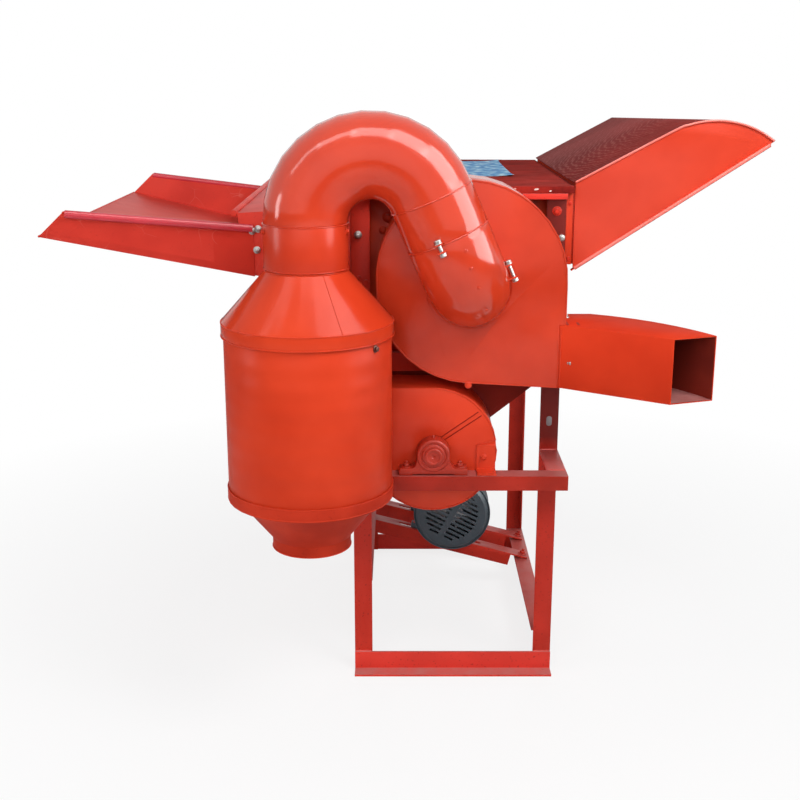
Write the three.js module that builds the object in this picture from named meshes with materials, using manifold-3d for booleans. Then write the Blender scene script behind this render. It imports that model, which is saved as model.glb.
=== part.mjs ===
// Threshing machine: a spike-tooth drum in a sheet-metal body, with a suction fan and its
// U-shaped duct, a grain blower, a cyclone and an electric motor, on an angle-iron frame.
// Lengths are millimetres. X runs from the feed tray to the straw hood, Y from the fan side
// to the belt side, Z up from the floor. X is zero at the middle of the frame, Y is zero at
// the front faces of the front posts.

import * as THREE from 'three';
import Module from 'manifold-3d';
import { mergeVertices } from 'three/addons/utils/BufferGeometryUtils.js';

const wasm = await Module();
wasm.setup();

// Fits, sheet and roundness
const fit = 0.3;
const overrun = 5;
const threeQuarters = 1.5 * Math.PI;
const sheet = 2;
const roundFaces = 36;
const pulleyFaces = 24;
const smallFaces = 16;
const rodFaces = 6;
const arcSteps = 9;
const weldTolerance = 1e-4;
const parallelTolerance = 1e-6;
const degree = Math.PI / 180;

// Frame of angle iron
const frameWidth = 447;
const frameDepth = 710;
const postHeight = 1084;
const angleLeg = 40;
const angleThickness = 4;
const beamHeight = 45;
const beamReach = 38;
const beamThickness = 5;
const rightRailTop = 80;
const topRailDepth = 20;
const topRailLip = 12;
const topRailThickness = 3;
const fanRailHeight = 40;
const fanRailDrop = 332;
const fanRailSetback = 10;

// Threshing body and its sheet walls
const boxHeight = 378;
const drumX = 18;
const drumDrop = 168;
const shaftDiameter = 30;
const shaftPassage = 60;

// Drum with pegs, and the concave under it
const drumEndGap = 12;
const drumDiscRadius = 90;
const drumDiscThickness = 5;
const drumHubRadius = 28;
const drumHubLength = 40;
const drumBarCount = 4;
const drumBarStartShare = 0.5;
const drumBarWidth = 36;
const drumBarThickness = 6;
const pegHeight = 48;
const pegDiameter = 14;
const pegsPerBar = 7;
const pegPlaceShares = [0.25, 0.75];
const concaveClearance = 14;
const concaveDepth = 16;
const concaveRibThickness = 6;
const concaveStart = 196 * degree;
const concaveEnd = 355 * degree;
const concaveRodDiameter = 8;
const concaveRodCount = 15;
const concaveSteps = 18;

// Feed throat and tray on the left
const feedSlope = 12.2 * degree;
const feedFloorDrop = 208;
const throatLength = 215;
const throatTopDrop = 24;
const throatTopFall = 14;
const throatOverhang = 18;
const throatHoodReach = 17;
const trayOverlap = 16;
const trayLength = 408;
const trayFlare = 70;
const trayInnerHeight = 104;
const trayOuterHeight = 50;
const trayEndRake = 53;
const trayLip = 10;
const trayBarDiameter = 14;

// Straw hood on the right
const hoodSillDrop = 159;
const hoodShoulderRise = 21;
const hoodSlope = 27.8 * degree;
const hoodStraightRun = 195;
const hoodArcRadius = 196;
const hoodArcTurn = 65.6 * degree;
const hoodArcSteps = 6;
const hoodFlange = 12;
const hoodGroove = 4;
const hoodFoldDepth = 8;
const hoodEndFlange = 30;

// Lid over the drum and its hinge
const lidHeight = 14;
const lidLeftOverhang = 4;
const lidRightOverhang = 13;
const hingePinDiameter = 8;
const hingeKnuckleRadius = 7;
const hingeKnuckleCount = 5;
const hingeLength = 300;
const hingeLeafHeight = 12;

// Suction fan, its housing and the discharge elbow
const fanReach = 140;
const fanRadius = 195;
const fanTopRadius = 209;
const fanLeftRadius = 186.5;
const fanLowRadius = 200;
const fanBottomRadius = 210;
const fanOutletReach = 181.5;
const fanOutletHeight = 130;
const fanInletRadius = 78;
const inletRingGap = 1.5;
const inletRingWidth = 4.5;
const inletRingLength = 5;
const fanBladeCount = 6;
const fanBladeThickness = 4;
const impellerRadius = 176;
const impellerHubRadius = 32;
const impellerWidth = 74;
const impellerFrontGap = 20;
const elbowStub = 80.5;
const elbowNearStub = 6;
const elbowMouthWidth = 95;
const elbowMouthTurn = 19 * degree;
const elbowMouthX = 200.5;
const elbowMouthY = 127;
const elbowKneeShares = [0.81, 0.68];

// U-shaped suction duct
const ductRadius = 81;
const ductLean = 23.5 * degree;
const bendCentreDrop = 28;
const inletElbowRadius = 97;
const ductSeamShare = 0.78;
const ductFaces = 20;
const bendSteps = 16;
const elbowSteps = 8;

// Cyclone
const cycloneOffset = 298;
const cycloneRadius = 161.8;
const cycloneHeight = 354;
const cycloneLidGap = 2;
const upperSkirtHeight = 27.5;
const lowerSkirtHeight = 26;
const upperConeHeight = 97.5;
const cycloneNeckRadius = 78.5;
const cycloneNeckHeight = 88.5;
const collarSeat = 1.5;
const lowerConeRadius = 146;
const lowerConeHeight = 84.5;
const spoutHeight = 23;
const finderLength = 354.5;

// Rail that carries the blower
const blowerRailReach = 180;
const blowerRailDrop = 554;
const blowerRailHeight = 31;

// Blower
const blowerOffset = 52.5;
const blowerShaftDiameter = 25;
const pillowHeight = 42;
const pillowLength = 140;
const pillowWidth = 38;
const pillowHubRadius = 39;
const pillowFootHeight = 14;
const pillowReach = 158;
const blowerReach = 136;
const blowerWidth = 112;
const blowerTopRadius = 132.2;
const blowerRightRadius = 131;
const blowerBottomRadius = 130;
const blowerTongueRadius = 132;
const blowerOutletHeight = 168;
const blowerInletRadius = 45;
const blowerImpellerRadius = 80;
const blowerImpellerWidth = 70;
const blowerBladeCount = 6;
const footWidth = 39;
const footHeight = 54;
const footX = 57;

// Grain hopper
const hopperOutletWidth = 77;
const hopperOutletDepth = 110;
const hopperDrop = 54;

// Motor on its inclined rails
const motorX = 11.5;
const motorZ = 243;
const motorIncline = 15 * degree;
const motorShaftHeight = 100;
const motorSetback = 175;
const motorFootSpacing = 130;
const motorFootHalfWidth = 80;
const motorFootThickness = 12;
const motorFootOffset = 115;
const motorBodyLength = 240;
const motorCoverDepth = 70;
const motorRadius = 80;
const motorFootNeckShare = 0.6;
const motorFinHeight = 12;
const motorFinCount = 28;
const motorFinShares = [[0, 0], [0.5, 0], [0.6, 1], [0.9, 1]];
const motorEndRadius = 94;
const motorEndThickness = 16;
const motorShaftDiameter = 28;
const terminalBoxSize = 90;
const terminalBoxHeight = 48;
const slotWidth = 12;
const slotLength = 70;
const slotU = 78;
const slotSteps = 6;
const motorRailHeight = 34;
const motorRailEndCut = 45;
const motorRailLeftCut = 12;
const grilleRows = 5;
const grillePitch = 12;
const grilleSlot = 5;
const grilleBar = 8;
const grilleTurn = 12 * degree;

// Square flange bearings of the drum
const bearingFlangeWidth = 108;
const bearingFlangeThickness = 14;
const bearingDepth = 34;
const bearingHubRadius = 34;

// Belts and pulleys
const blowerBeltReach = 21;
const beltSpacing = 24;
const pulleyWidth = 20;
const pulleyRimDepth = 14;
const beltTopWidth = 13;
const beltBaseWidth = 8;
const beltDepth = 8;
const beltSink = 1;
const beltArcSteps = 12;
const motorPulleyRadius = 50;
const drumPulleyRadius = 105;
const blowerPulleyRadius = 42;
const pulleyWebThickness = 8;
const pulleyHubRadius = 26;
const pulleyHoleCount = 5;

// Places that follow from the sizes above
const frameRight = frameWidth / 2;
const frameLeft = -frameRight;
const wallFront = angleLeg + fit;
const wallRear = frameDepth - angleLeg - fit;
const boxInnerFront = wallFront + sheet;
const boxInnerRear = wallRear - sheet;
const boxBottom = postHeight - boxHeight;
const topRailTop = postHeight + sheet;
const fanRailTop = postHeight - fanRailDrop;
const drumZ = postHeight - drumDrop;
const drumRadius = drumDiscRadius + drumBarThickness + pegHeight;
const concaveRadius = drumRadius + concaveClearance;
const feedFloorAtFrame = postHeight - feedFloorDrop;
const throatTopAtFrame = postHeight - throatTopDrop;
const throatTopAtMouth = throatTopAtFrame - throatTopFall;
const hoodSill = postHeight - hoodSillDrop;
const hoodShoulder = postHeight + hoodShoulderRise;
const fanFront = -fanReach;
const fanBack = -topRailDepth - 2 * fit;
const fanRight = drumX + fanRadius;
const fanBottom = drumZ - fanBottomRadius;
const outletX = drumX + fanOutletReach;
const outletTop = fanBottom + fanOutletHeight;
const bendCentreHeight = postHeight - bendCentreDrop;
const collarTop = bendCentreHeight - collarSeat;
const collarRadius = cycloneNeckRadius + sheet + fit;
const cycloneX = -cycloneOffset;
const cycloneY = fanFront - inletElbowRadius - fit;
const cycloneConeTop = collarTop - cycloneNeckHeight;
const cycloneShoulder = cycloneConeTop - upperConeHeight;
const cycloneFoot = cycloneShoulder - cycloneHeight;
const cycloneLidRadius = cycloneRadius + cycloneLidGap + sheet;
const cycloneSkirtRadius = cycloneRadius + fit + sheet;
const spoutTop = cycloneFoot - lowerConeHeight;
const spoutBottom = spoutTop - spoutHeight;
const finderBottom = collarTop - finderLength;
const blowerRailTop = postHeight - blowerRailDrop;
const blowerX = -blowerOffset;
const blowerZ = blowerRailTop + fit + pillowHeight;
const blowerFront = -blowerReach;
const blowerBack = blowerFront + blowerWidth;
const pillowY = -pillowReach;
const hopperBottom = blowerZ - hopperDrop;
const motorFootY = frameDepth - motorSetback;
const motorBodyFront = motorFootY - motorFootOffset;
const motorBodyRear = motorBodyFront + motorBodyLength;
const motorCoverFront = motorBodyFront - motorCoverDepth;
const blowerBeltY = frameDepth + blowerBeltReach;
const mainBeltY = blowerBeltY + beltSpacing;

// Joins and cuts of closed meshes
function toSolid(geometry) {
  const bare = geometry.clone();
  bare.deleteAttribute('normal');
  bare.deleteAttribute('uv');
  const merged = mergeVertices(bare, weldTolerance);
  const index = merged.index.array;
  const corners = [];
  for (let i = 0; i < index.length; i += 3) {
    const [a, b, c] = [index[i], index[i + 1], index[i + 2]];
    if (a !== b && b !== c && c !== a) corners.push(a, b, c);
  }
  const mesh = new wasm.Mesh({
    numProp: 3,
    vertProperties: new Float32Array(merged.attributes.position.array),
    triVerts: new Uint32Array(corners),
  });
  return new wasm.Manifold(mesh);
}

function toGeometry(solid) {
  const mesh = solid.getMesh();
  const geometry = new THREE.BufferGeometry();
  geometry.setAttribute('position', new THREE.BufferAttribute(new Float32Array(mesh.vertProperties), 3));
  geometry.setIndex(new THREE.BufferAttribute(new Uint32Array(mesh.triVerts), 1));
  geometry.computeVertexNormals();
  return geometry;
}

function cut(geometry, ...tools) {
  let solid = toSolid(geometry);
  for (const tool of tools) solid = solid.subtract(toSolid(tool));
  return toGeometry(solid);
}

function join(geometry, ...others) {
  let solid = toSolid(geometry);
  for (const other of others) solid = solid.add(toSolid(other));
  return toGeometry(solid);
}

// Basic forms, each drawn where it is used
function block(x0, x1, y0, y1, z0, z1) {
  const geometry = new THREE.BoxGeometry(x1 - x0, y1 - y0, z1 - z0);
  return geometry.translate((x0 + x1) / 2, (y0 + y1) / 2, (z0 + z1) / 2);
}

function outlineShape(points) {
  return new THREE.Shape(points.map(([u, v]) => new THREE.Vector2(u, v)));
}

function prismZ(points, z0, z1) {
  const options = { depth: z1 - z0, bevelEnabled: false };
  return new THREE.ExtrudeGeometry(outlineShape(points), options).translate(0, 0, z0);
}

function prismY(points, y0, y1) {
  const options = { depth: y1 - y0, bevelEnabled: false };
  const geometry = new THREE.ExtrudeGeometry(outlineShape(points), options);
  return geometry.rotateX(Math.PI / 2).translate(0, y1, 0);
}

function prismX(points, x0, x1) {
  const options = { depth: x1 - x0, bevelEnabled: false };
  const geometry = new THREE.ExtrudeGeometry(outlineShape(points), options);
  const turn = new THREE.Matrix4().makeBasis(
    new THREE.Vector3(0, 1, 0), new THREE.Vector3(0, 0, 1), new THREE.Vector3(1, 0, 0));
  return geometry.applyMatrix4(turn).translate(x0, 0, 0);
}

// A revolved profile of (radius, height) points, about the Y or the Z direction
function revolveY(profile, faces = roundFaces) {
  const points = profile.map(([radius, height]) => new THREE.Vector2(radius, height));
  return new THREE.LatheGeometry(points, faces);
}

function revolveZ(profile, faces = roundFaces) {
  return revolveY(profile, faces).rotateX(Math.PI / 2);
}

function rodProfile(radius, from, to) {
  return [[0, from], [radius, from], [radius, to], [0, to]];
}

function ringProfile(inner, outer, from, to) {
  return [[inner, from], [outer, from], [outer, to], [inner, to], [inner, from]];
}

function rodY(radius, y0, y1, x, z, faces = smallFaces) {
  return revolveY(rodProfile(radius, y0, y1), faces).translate(x, 0, z);
}

// Section of an angle bar: its corner, and the two legs with their signs
function angleSection(u, v, legU, legV, thickness) {
  const tu = Math.sign(legU) * thickness;
  const tv = Math.sign(legV) * thickness;
  return [
    [u, v], [u + legU, v], [u + legU, v + tv], [u + tu, v + tv], [u + tu, v + legV], [u, v + legV],
  ];
}

// Points on an arc whose radius changes evenly from one end to the other
function arcPoints(centreU, centreV, radiusA, radiusB, from, to, steps) {
  const points = [];
  for (let i = 0; i <= steps; i += 1) {
    const share = i / steps;
    const angle = from + (to - from) * share;
    const radius = radiusA + (radiusB - radiusA) * share;
    points.push([centreU + radius * Math.cos(angle), centreV + radius * Math.sin(angle)]);
  }
  return points;
}

// Moves each edge of a counterclockwise outline inward by its own distance
function inset(points, distanceOf) {
  const count = points.length;
  const lines = points.map((start, i) => {
    const end = points[(i + 1) % count];
    const length = Math.hypot(end[0] - start[0], end[1] - start[1]);
    const along = [(end[0] - start[0]) / length, (end[1] - start[1]) / length];
    const distance = distanceOf(i);
    return { along, base: [start[0] - along[1] * distance, start[1] + along[0] * distance] };
  });
  return lines.map((line, i) => {
    const before = lines[(i + count - 1) % count];
    const cross = before.along[0] * line.along[1] - before.along[1] * line.along[0];
    if (Math.abs(cross) < parallelTolerance) return line.base;
    const du = line.base[0] - before.base[0];
    const dv = line.base[1] - before.base[1];
    const t = (du * line.along[1] - dv * line.along[0]) / cross;
    return [before.base[0] + before.along[0] * t, before.base[1] + before.along[1] * t];
  });
}

// An open line moved to its left side by a distance
function offsetLine(line, distance) {
  const normals = line.slice(1).map((point, i) => {
    const du = point[0] - line[i][0];
    const dv = point[1] - line[i][1];
    const length = Math.hypot(du, dv);
    return [-dv / length, du / length];
  });
  return line.map(([u, v], i) => {
    const a = normals[Math.max(i - 1, 0)];
    const b = normals[Math.min(i, normals.length - 1)];
    const scale = distance / (1 + a[0] * b[0] + a[1] * b[1]);
    return [u + (a[0] + b[0]) * scale, v + (a[1] + b[1]) * scale];
  });
}

// Closed section of a thin sheet that follows an open line, with the sheet on its left side
function sheetSection(line, thickness) {
  return [...line, ...offsetLine(line, thickness).reverse()];
}

// A solid between two matching rings of points, closed at both ends
function loft(ringA, ringB, flatten) {
  const count = ringA.length;
  const positions = [...ringA, ...ringB].flat();
  const caps = THREE.ShapeUtils.triangulateShape(ringA.map((p) => new THREE.Vector2(...flatten(p))), []);
  const index = [];
  for (const [a, b, c] of caps) index.push(c, b, a, a + count, b + count, c + count);
  for (let i = 0; i < count; i += 1) {
    const next = (i + 1) % count;
    index.push(i, next, next + count, i, next + count, i + count);
  }
  const geometry = new THREE.BufferGeometry();
  geometry.setAttribute('position', new THREE.Float32BufferAttribute(positions, 3));
  geometry.setIndex(index);
  return outward(geometry);
}

// Turns all faces over when they point inward
function outward(geometry) {
  const position = geometry.attributes.position;
  const index = geometry.index.array;
  const [a, b, c] = [new THREE.Vector3(), new THREE.Vector3(), new THREE.Vector3()];
  let volume = 0;
  for (let i = 0; i < index.length; i += 3) {
    a.fromBufferAttribute(position, index[i]);
    b.fromBufferAttribute(position, index[i + 1]);
    c.fromBufferAttribute(position, index[i + 2]);
    volume += a.dot(b.cross(c));
  }
  if (volume < 0) {
    for (let i = 0; i < index.length; i += 3) [index[i], index[i + 1]] = [index[i + 1], index[i]];
  }
  return geometry;
}

// Materials
function finish(color, roughness, metalness) {
  return new THREE.MeshStandardMaterial({ color, roughness, metalness });
}

const bodyPaint = () => finish(0xe8492a, 0.32, 0.05);
const framePaint = () => finish(0xd63b2c, 0.42, 0.05);
const motorPaint = () => finish(0x3e5563, 0.45, 0.05);
const bareSteel = () => finish(0xb9bdc0, 0.35, 0.9);
const castIron = () => finish(0x4a4d50, 0.6, 0.6);
const beltRubber = () => finish(0x17181a, 0.85, 0);

const machine = new THREE.Group();

function add(name, geometry, material, parent = machine) {
  const mesh = new THREE.Mesh(geometry, material);
  mesh.name = name;
  parent.add(mesh);
  return mesh;
}

// Frame
function addPosts() {
  for (const [sideName, side] of [['left', -1], ['right', 1]]) {
    for (const [endName, y, inward] of [['front', 0, 1], ['rear', frameDepth, -1]]) {
      const section = angleSection(
        side * frameRight, y, -side * angleLeg, inward * angleLeg, angleThickness);
      add(`frame_post_${endName}_${sideName}`, prismZ(section, 0, postHeight), framePaint());
    }
  }
}

function addBaseBeams() {
  const front = angleSection(-fit, 0, -beamReach, beamHeight, beamThickness);
  const rear = angleSection(frameDepth + fit, 0, beamReach, beamHeight, beamThickness);
  add('base_beam_front', prismX(front, frameLeft, frameRight), framePaint());
  add('base_beam_rear', prismX(rear, frameLeft, frameRight), framePaint());
}

// The motor rails slope down to the right: their ends give the heights of both side rails
function onIncline(u, w) {
  return {
    x: motorX + u * Math.cos(motorIncline) + w * Math.sin(motorIncline),
    z: motorZ - u * Math.sin(motorIncline) + w * Math.cos(motorIncline),
  };
}

const motorRailTop = -motorShaftHeight - fit;
const motorRailUnder = motorRailTop - angleThickness;
const motorRailRight = (motorZ - rightRailTop - fit + motorRailUnder * Math.cos(motorIncline))
  / Math.sin(motorIncline);
const motorRailLeft = (frameLeft + angleThickness + fit - motorX - motorRailUnder * Math.sin(motorIncline))
  / Math.cos(motorIncline);
const leftRailTop = onIncline(motorRailLeft, motorRailTop).z + fit + angleThickness;

function addSideRails() {
  const right = angleSection(frameRight, rightRailTop, -angleLeg, -angleLeg, angleThickness);
  const left = angleSection(frameLeft, leftRailTop, angleLeg, -angleLeg, angleThickness);
  add('side_rail_right', prismY(right, wallFront, wallRear), framePaint());
  add('side_rail_left', prismY(left, wallFront, wallRear), framePaint());
  const y0 = boxInnerFront + fit;
  const y1 = boxInnerRear - fit;
  const topRight = angleSection(frameRight, postHeight, -angleLeg, -angleLeg, angleThickness);
  const topLeft = angleSection(frameLeft, postHeight, angleLeg, -angleLeg, angleThickness);
  add('top_rail_right', prismY(topRight, y0, y1), framePaint());
  add('top_rail_left', prismY(topLeft, y0, y1), framePaint());
}

function addCrossRails() {
  const frontTop = angleSection(
    -fit - topRailDepth, topRailTop, topRailDepth, -topRailLip, topRailThickness);
  add('top_rail_front', prismX(frontTop, frameLeft, frameRight), framePaint());
  const rearY = frameDepth + fit + topRailDepth;
  const rearTop = angleSection(rearY, topRailTop, -topRailDepth, -topRailLip, topRailThickness);
  add('top_rail_rear', prismX(rearTop, frameLeft, frameRight), framePaint());
  const fanRail = angleSection(
    -fit - topRailDepth, fanRailTop, topRailDepth, -fanRailHeight, topRailThickness);
  add('fan_rail', prismX(fanRail, frameLeft + fanRailSetback, frameRight), framePaint());
  const bearingRail = angleSection(frameDepth - angleThickness - fit, blowerRailTop, -angleLeg, -angleLeg,
    angleThickness);
  const between = frameRight - angleThickness - fit;
  add('bearing_rail_rear', prismX(bearingRail, -between, between), framePaint());
}

// Rail in front of the frame that carries the blower, and the arm that ties it to the right post
function addBlowerRail() {
  const cycloneGap = cycloneY + blowerRailReach;
  const railLeft = cycloneX + Math.sqrt((cycloneSkirtRadius + fit) ** 2 - cycloneGap ** 2);
  const rail = angleSection(-blowerRailReach, blowerRailTop, angleLeg, -blowerRailHeight, angleThickness);
  add('blower_rail', prismX(rail, railLeft, frameRight), framePaint());
  const arm = angleSection(frameRight, blowerRailTop, -angleLeg, -blowerRailHeight, angleThickness);
  add('blower_rail_arm', prismY(arm, angleLeg - blowerRailReach + fit, -fit), framePaint());
}

// Sheet walls of the threshing body
function shaftHole(y, radius = shaftPassage / 2) {
  return rodY(radius, y - overrun, y + sheet + overrun, drumX, drumZ, roundFaces);
}

function addWalls() {
  const front = block(frameLeft, frameRight, wallFront, boxInnerFront, boxBottom + fit, postHeight);
  const rear = block(frameLeft, frameRight, boxInnerRear, wallRear, boxBottom + fit, postHeight);
  const corners = topRailClearance();
  add('body_front_wall', cut(front, shaftHole(wallFront)), bodyPaint());
  add('body_rear_wall', cut(rear, shaftHole(boxInnerRear)), bodyPaint());
  const y0 = boxInnerFront + fit;
  const y1 = boxInnerRear - fit;
  const left = block(frameLeft, frameLeft + sheet, y0, y1, boxBottom + fit, corners.leftTop);
  const right = block(frameRight - sheet, frameRight, y0, y1, boxBottom + fit, corners.rightTop);
  add('body_side_left', left, bodyPaint());
  add('body_side_right', right, bodyPaint());
}

// The side walls end under the feed floor and under the straw sill
function topRailClearance() {
  return { leftTop: feedFloorAtFrame - sheet - 2 * fit, rightTop: hoodSill };
}

// Funnel under the concave: it leads the grain to the blower's rear inlet
function addHopper() {
  const ringAt = (z, x0, x1, y1) => [
    [x0, wallFront, z], [x1, wallFront, z], [x1, y1, z], [x0, y1, z],
  ];
  const top = ringAt(boxBottom, frameLeft, frameRight, wallRear);
  const half = hopperOutletWidth / 2;
  const bottom = ringAt(hopperBottom, blowerX - half, blowerX + half, wallFront + hopperOutletDepth);
  const flat = (p) => [p[0], p[1]];
  const outer = loft(bottom, top, flat);
  const shrink = (ring, z, out) => [
    [ring[0][0] + sheet + out, ring[0][1] + sheet, z],
    [ring[1][0] - sheet - out, ring[1][1] + sheet, z],
    [ring[2][0] - sheet - out, ring[2][1] - sheet - out, z],
    [ring[3][0] + sheet + out, ring[3][1] - sheet - out, z],
  ];
  const inner = loft(shrink(bottom, hopperBottom + sheet, sheet), shrink(top, boxBottom + sheet, 0), flat);
  const passage = rodY(
    blowerInletRadius, wallFront - overrun, boxInnerFront + overrun, blowerX, blowerZ, pulleyFaces);
  const shaftWay = rodY(blowerShaftDiameter, wallFront, wallRear, blowerX, blowerZ);
  const pipeRing = ringProfile(
    blowerInletRadius, blowerInletRadius + sheet, blowerBack + fit, wallFront + fit);
  const pipe = revolveY(pipeRing, pulleyFaces);
  const shell = cut(outer, inner, passage, shaftWay);
  add('grain_hopper', join(shell, pipe.translate(blowerX, 0, blowerZ)), bodyPaint());
}

// Straw hood: two side panels folded from sheet and a top sheet, open underneath. The top sheet
// is bent round the front panel's arc and runs out to a straight edge on the rear panel
const hoodStart = frameRight + lidRightOverhang + 2 * fit;

function hoodFrontLine() {
  const startAngle = Math.PI / 2 + hoodSlope;
  const straightEnd = [hoodStart + hoodStraightRun, hoodShoulder + hoodStraightRun * Math.tan(hoodSlope)];
  const centre = [
    straightEnd[0] - hoodArcRadius * Math.cos(startAngle),
    straightEnd[1] - hoodArcRadius * Math.sin(startAngle),
  ];
  const endAngle = startAngle - hoodArcTurn;
  const arc = arcPoints(...centre, hoodArcRadius, hoodArcRadius, startAngle, endAngle, hoodArcSteps);
  return [[hoodStart, hoodShoulder], ...arc];
}

function hoodRearLine() {
  const front = hoodFrontLine();
  return [front[0], front[1], front[front.length - 1]];
}

function hoodSidePanel(top) {
  const tip = top[top.length - 1];
  const sill = [hoodStart, hoodSill];
  const panel = prismY([sill, tip, ...top.slice(0, -1).reverse()], 0, sheet);
  const length = Math.hypot(tip[0] - sill[0], tip[1] - sill[1]);
  const flangeEnd = sill.map((value, i) => tip[i] + ((value - tip[i]) * hoodFlange) / length);
  const flange = prismY(sheetSection([sill, flangeEnd], sheet), -hoodFlange, sheet / 2);
  const x0 = frameRight + fit;
  const fold = sheetSection([
    [hoodStart + hoodFlange, 0], [hoodStart + hoodGroove, 0], [hoodStart + hoodGroove, hoodFoldDepth],
    [hoodStart, hoodFoldDepth], [hoodStart, 0], [x0, 0], [x0, hoodEndFlange],
  ].reverse(), sheet);
  const end = prismZ(fold, hoodSill + hoodFlange, postHeight);
  const groove = block(hoodStart - overrun, hoodStart + hoodGroove, -sheet, sheet + fit,
    hoodSill - overrun, hoodShoulder + overrun);
  return join(cut(panel, groove), flange, end);
}

// The bent sheet's corners, as one skin: the front line's points, then the rear line's
function hoodSkin(lift) {
  const front = offsetLine(hoodFrontLine(), lift).map(([x, z]) => [x, 0, z]);
  const rear = offsetLine(hoodRearLine(), lift).map(([x, z]) => [x, frameDepth, z]);
  return [...front, ...rear];
}

// Flat facets between the lines: the first half of the arc runs to the rear line's bend, the
// second half to its tip
function hoodFacets() {
  const last = hoodArcSteps + 1;
  const crest = 1 + hoodArcSteps / 2;
  const [rearStart, rearBend, rearTip] = [last + 1, last + 2, last + 3];
  const facets = [[0, 1, rearStart], [1, rearBend, rearStart], [crest, rearTip, rearBend]];
  for (let i = 1; i < last; i += 1) facets.push([i, i + 1, i < crest ? rearBend : rearTip]);
  const rim = [];
  for (let i = 0; i < last; i += 1) rim.push([i + 1, i]);
  rim.push([0, rearStart], [rearStart, rearBend], [rearBend, rearTip], [rearTip, last]);
  return { facets, rim };
}

function hoodTopSheet() {
  const upper = hoodSkin(fit + sheet);
  const lower = hoodSkin(fit);
  const { facets, rim } = hoodFacets();
  const index = facets.flatMap(([a, b, c]) => [a, b, c, ...[c, b, a].map((i) => i + upper.length)]);
  for (const [a, b] of rim) {
    index.push(a, b, b + upper.length, a, b + upper.length, a + upper.length);
  }
  const geometry = new THREE.BufferGeometry();
  geometry.setAttribute('position', new THREE.Float32BufferAttribute([...upper, ...lower].flat(), 3));
  geometry.setIndex(index);
  return geometry;
}

function mirroredY(geometry) {
  const copy = geometry.clone().scale(1, -1, 1).translate(0, frameDepth, 0);
  const index = copy.index.array;
  for (let i = 0; i < index.length; i += 3) [index[i], index[i + 1]] = [index[i + 1], index[i]];
  copy.computeVertexNormals();
  return copy;
}

function addHood() {
  add('straw_hood_side_front', hoodSidePanel(hoodFrontLine()), bodyPaint());
  add('straw_hood_side_rear', mirroredY(hoodSidePanel(hoodRearLine())), bodyPaint());
  const lidSide = block(hoodStart - overrun, hoodStart, -overrun, frameDepth + overrun,
    hoodShoulder - overrun, hoodShoulder + overrun);
  add('straw_hood_top', cut(hoodTopSheet(), lidSide), bodyPaint());
}

// Feed throat: a flat duct from the tray to the drum, with a tongue that reaches the concave
const throatEnd = frameLeft - fit;
const throatMouth = throatEnd - throatLength;
const feedRise = (x) => feedFloorAtFrame + (throatEnd - x) * Math.tan(feedSlope);

function addThroat() {
  const y0 = -throatOverhang;
  const y1 = frameDepth + throatOverhang;
  const mouthTop = throatMouth - throatHoodReach;
  const ring = (low, high, inset0, x) => [
    [x.low, y0 + inset0, low], [x.low, y1 - inset0, low],
    [x.high, y1 - inset0, high], [x.high, y0 + inset0, high],
  ];
  const flat = (p) => [p[1], p[2]];
  const frameX = { low: throatEnd, high: throatEnd };
  const mouthX = { low: throatMouth, high: mouthTop };
  const outer = loft(
    ring(feedFloorAtFrame - sheet, throatTopAtFrame, 0, frameX),
    ring(feedRise(throatMouth) - sheet, throatTopAtMouth, 0, mouthX), flat);
  const reach = { low: throatEnd + overrun, high: throatEnd + overrun };
  const beyond = { low: throatMouth - overrun, high: mouthTop - overrun };
  const topSlope = (throatTopAtMouth - throatTopAtFrame) / (throatEnd - mouthTop);
  const inner = loft(
    ring(feedRise(reach.low), throatTopAtFrame - sheet - topSlope * overrun, sheet, reach),
    ring(feedRise(beyond.low), throatTopAtMouth - sheet + topSlope * overrun, sheet, beyond), flat);
  const tongueEnd = drumX + (concaveRadius + concaveDepth) * Math.cos(concaveStart) - 2 * fit;
  const tongueLine = [[throatEnd - sheet, feedRise(throatEnd - sheet)], [tongueEnd, feedRise(tongueEnd)]];
  const tongue = prismY(sheetSection(tongueLine, -sheet), boxInnerFront + 2 * fit, boxInnerRear - 2 * fit);
  add('feed_throat', join(cut(outer, inner), tongue), bodyPaint());
  const barX = mouthTop - fit - trayBarDiameter / 2;
  const bar = rodY(trayBarDiameter / 2, y0, y1, barX, throatTopAtMouth - sheet / 2);
  add('throat_edge_bar', bar, bodyPaint());
}

// Feed tray: folded sheet with turned-out lips, flared towards its raked outer end
function addTray() {
  const inner = throatMouth + trayOverlap;
  const outer = throatMouth - trayLength;
  const under = sheet + fit;
  const section = (x, spread, height, rake) => {
    const floor = feedRise(x) - sheet - under;
    const y0 = -throatOverhang - under - spread;
    const y1 = frameDepth + throatOverhang + under + spread;
    const top = floor + height;
    const line = [[y0 - trayLip, top], [y0, top], [y0, floor], [y1, floor], [y1, top], [y1 + trayLip, top]];
    return sheetSection(line, sheet).map(([y, z]) => [x + rake * (z - floor) / height, y, z]);
  };
  const geometry = loft(
    section(inner, 0, trayInnerHeight, 0),
    section(outer, trayFlare, trayOuterHeight, trayEndRake), (p) => [p[1], p[2]]);
  add('feed_tray', geometry, bodyPaint());
}

// Lid with folded edges, and the knuckle hinge along its rear edge
const lidRear = frameDepth + fit + topRailDepth;
const lidBottom = topRailTop + fit;
const hingeY = lidRear + fit + hingeKnuckleRadius;
const hingeZ = lidBottom + lidHeight / 2;

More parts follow.
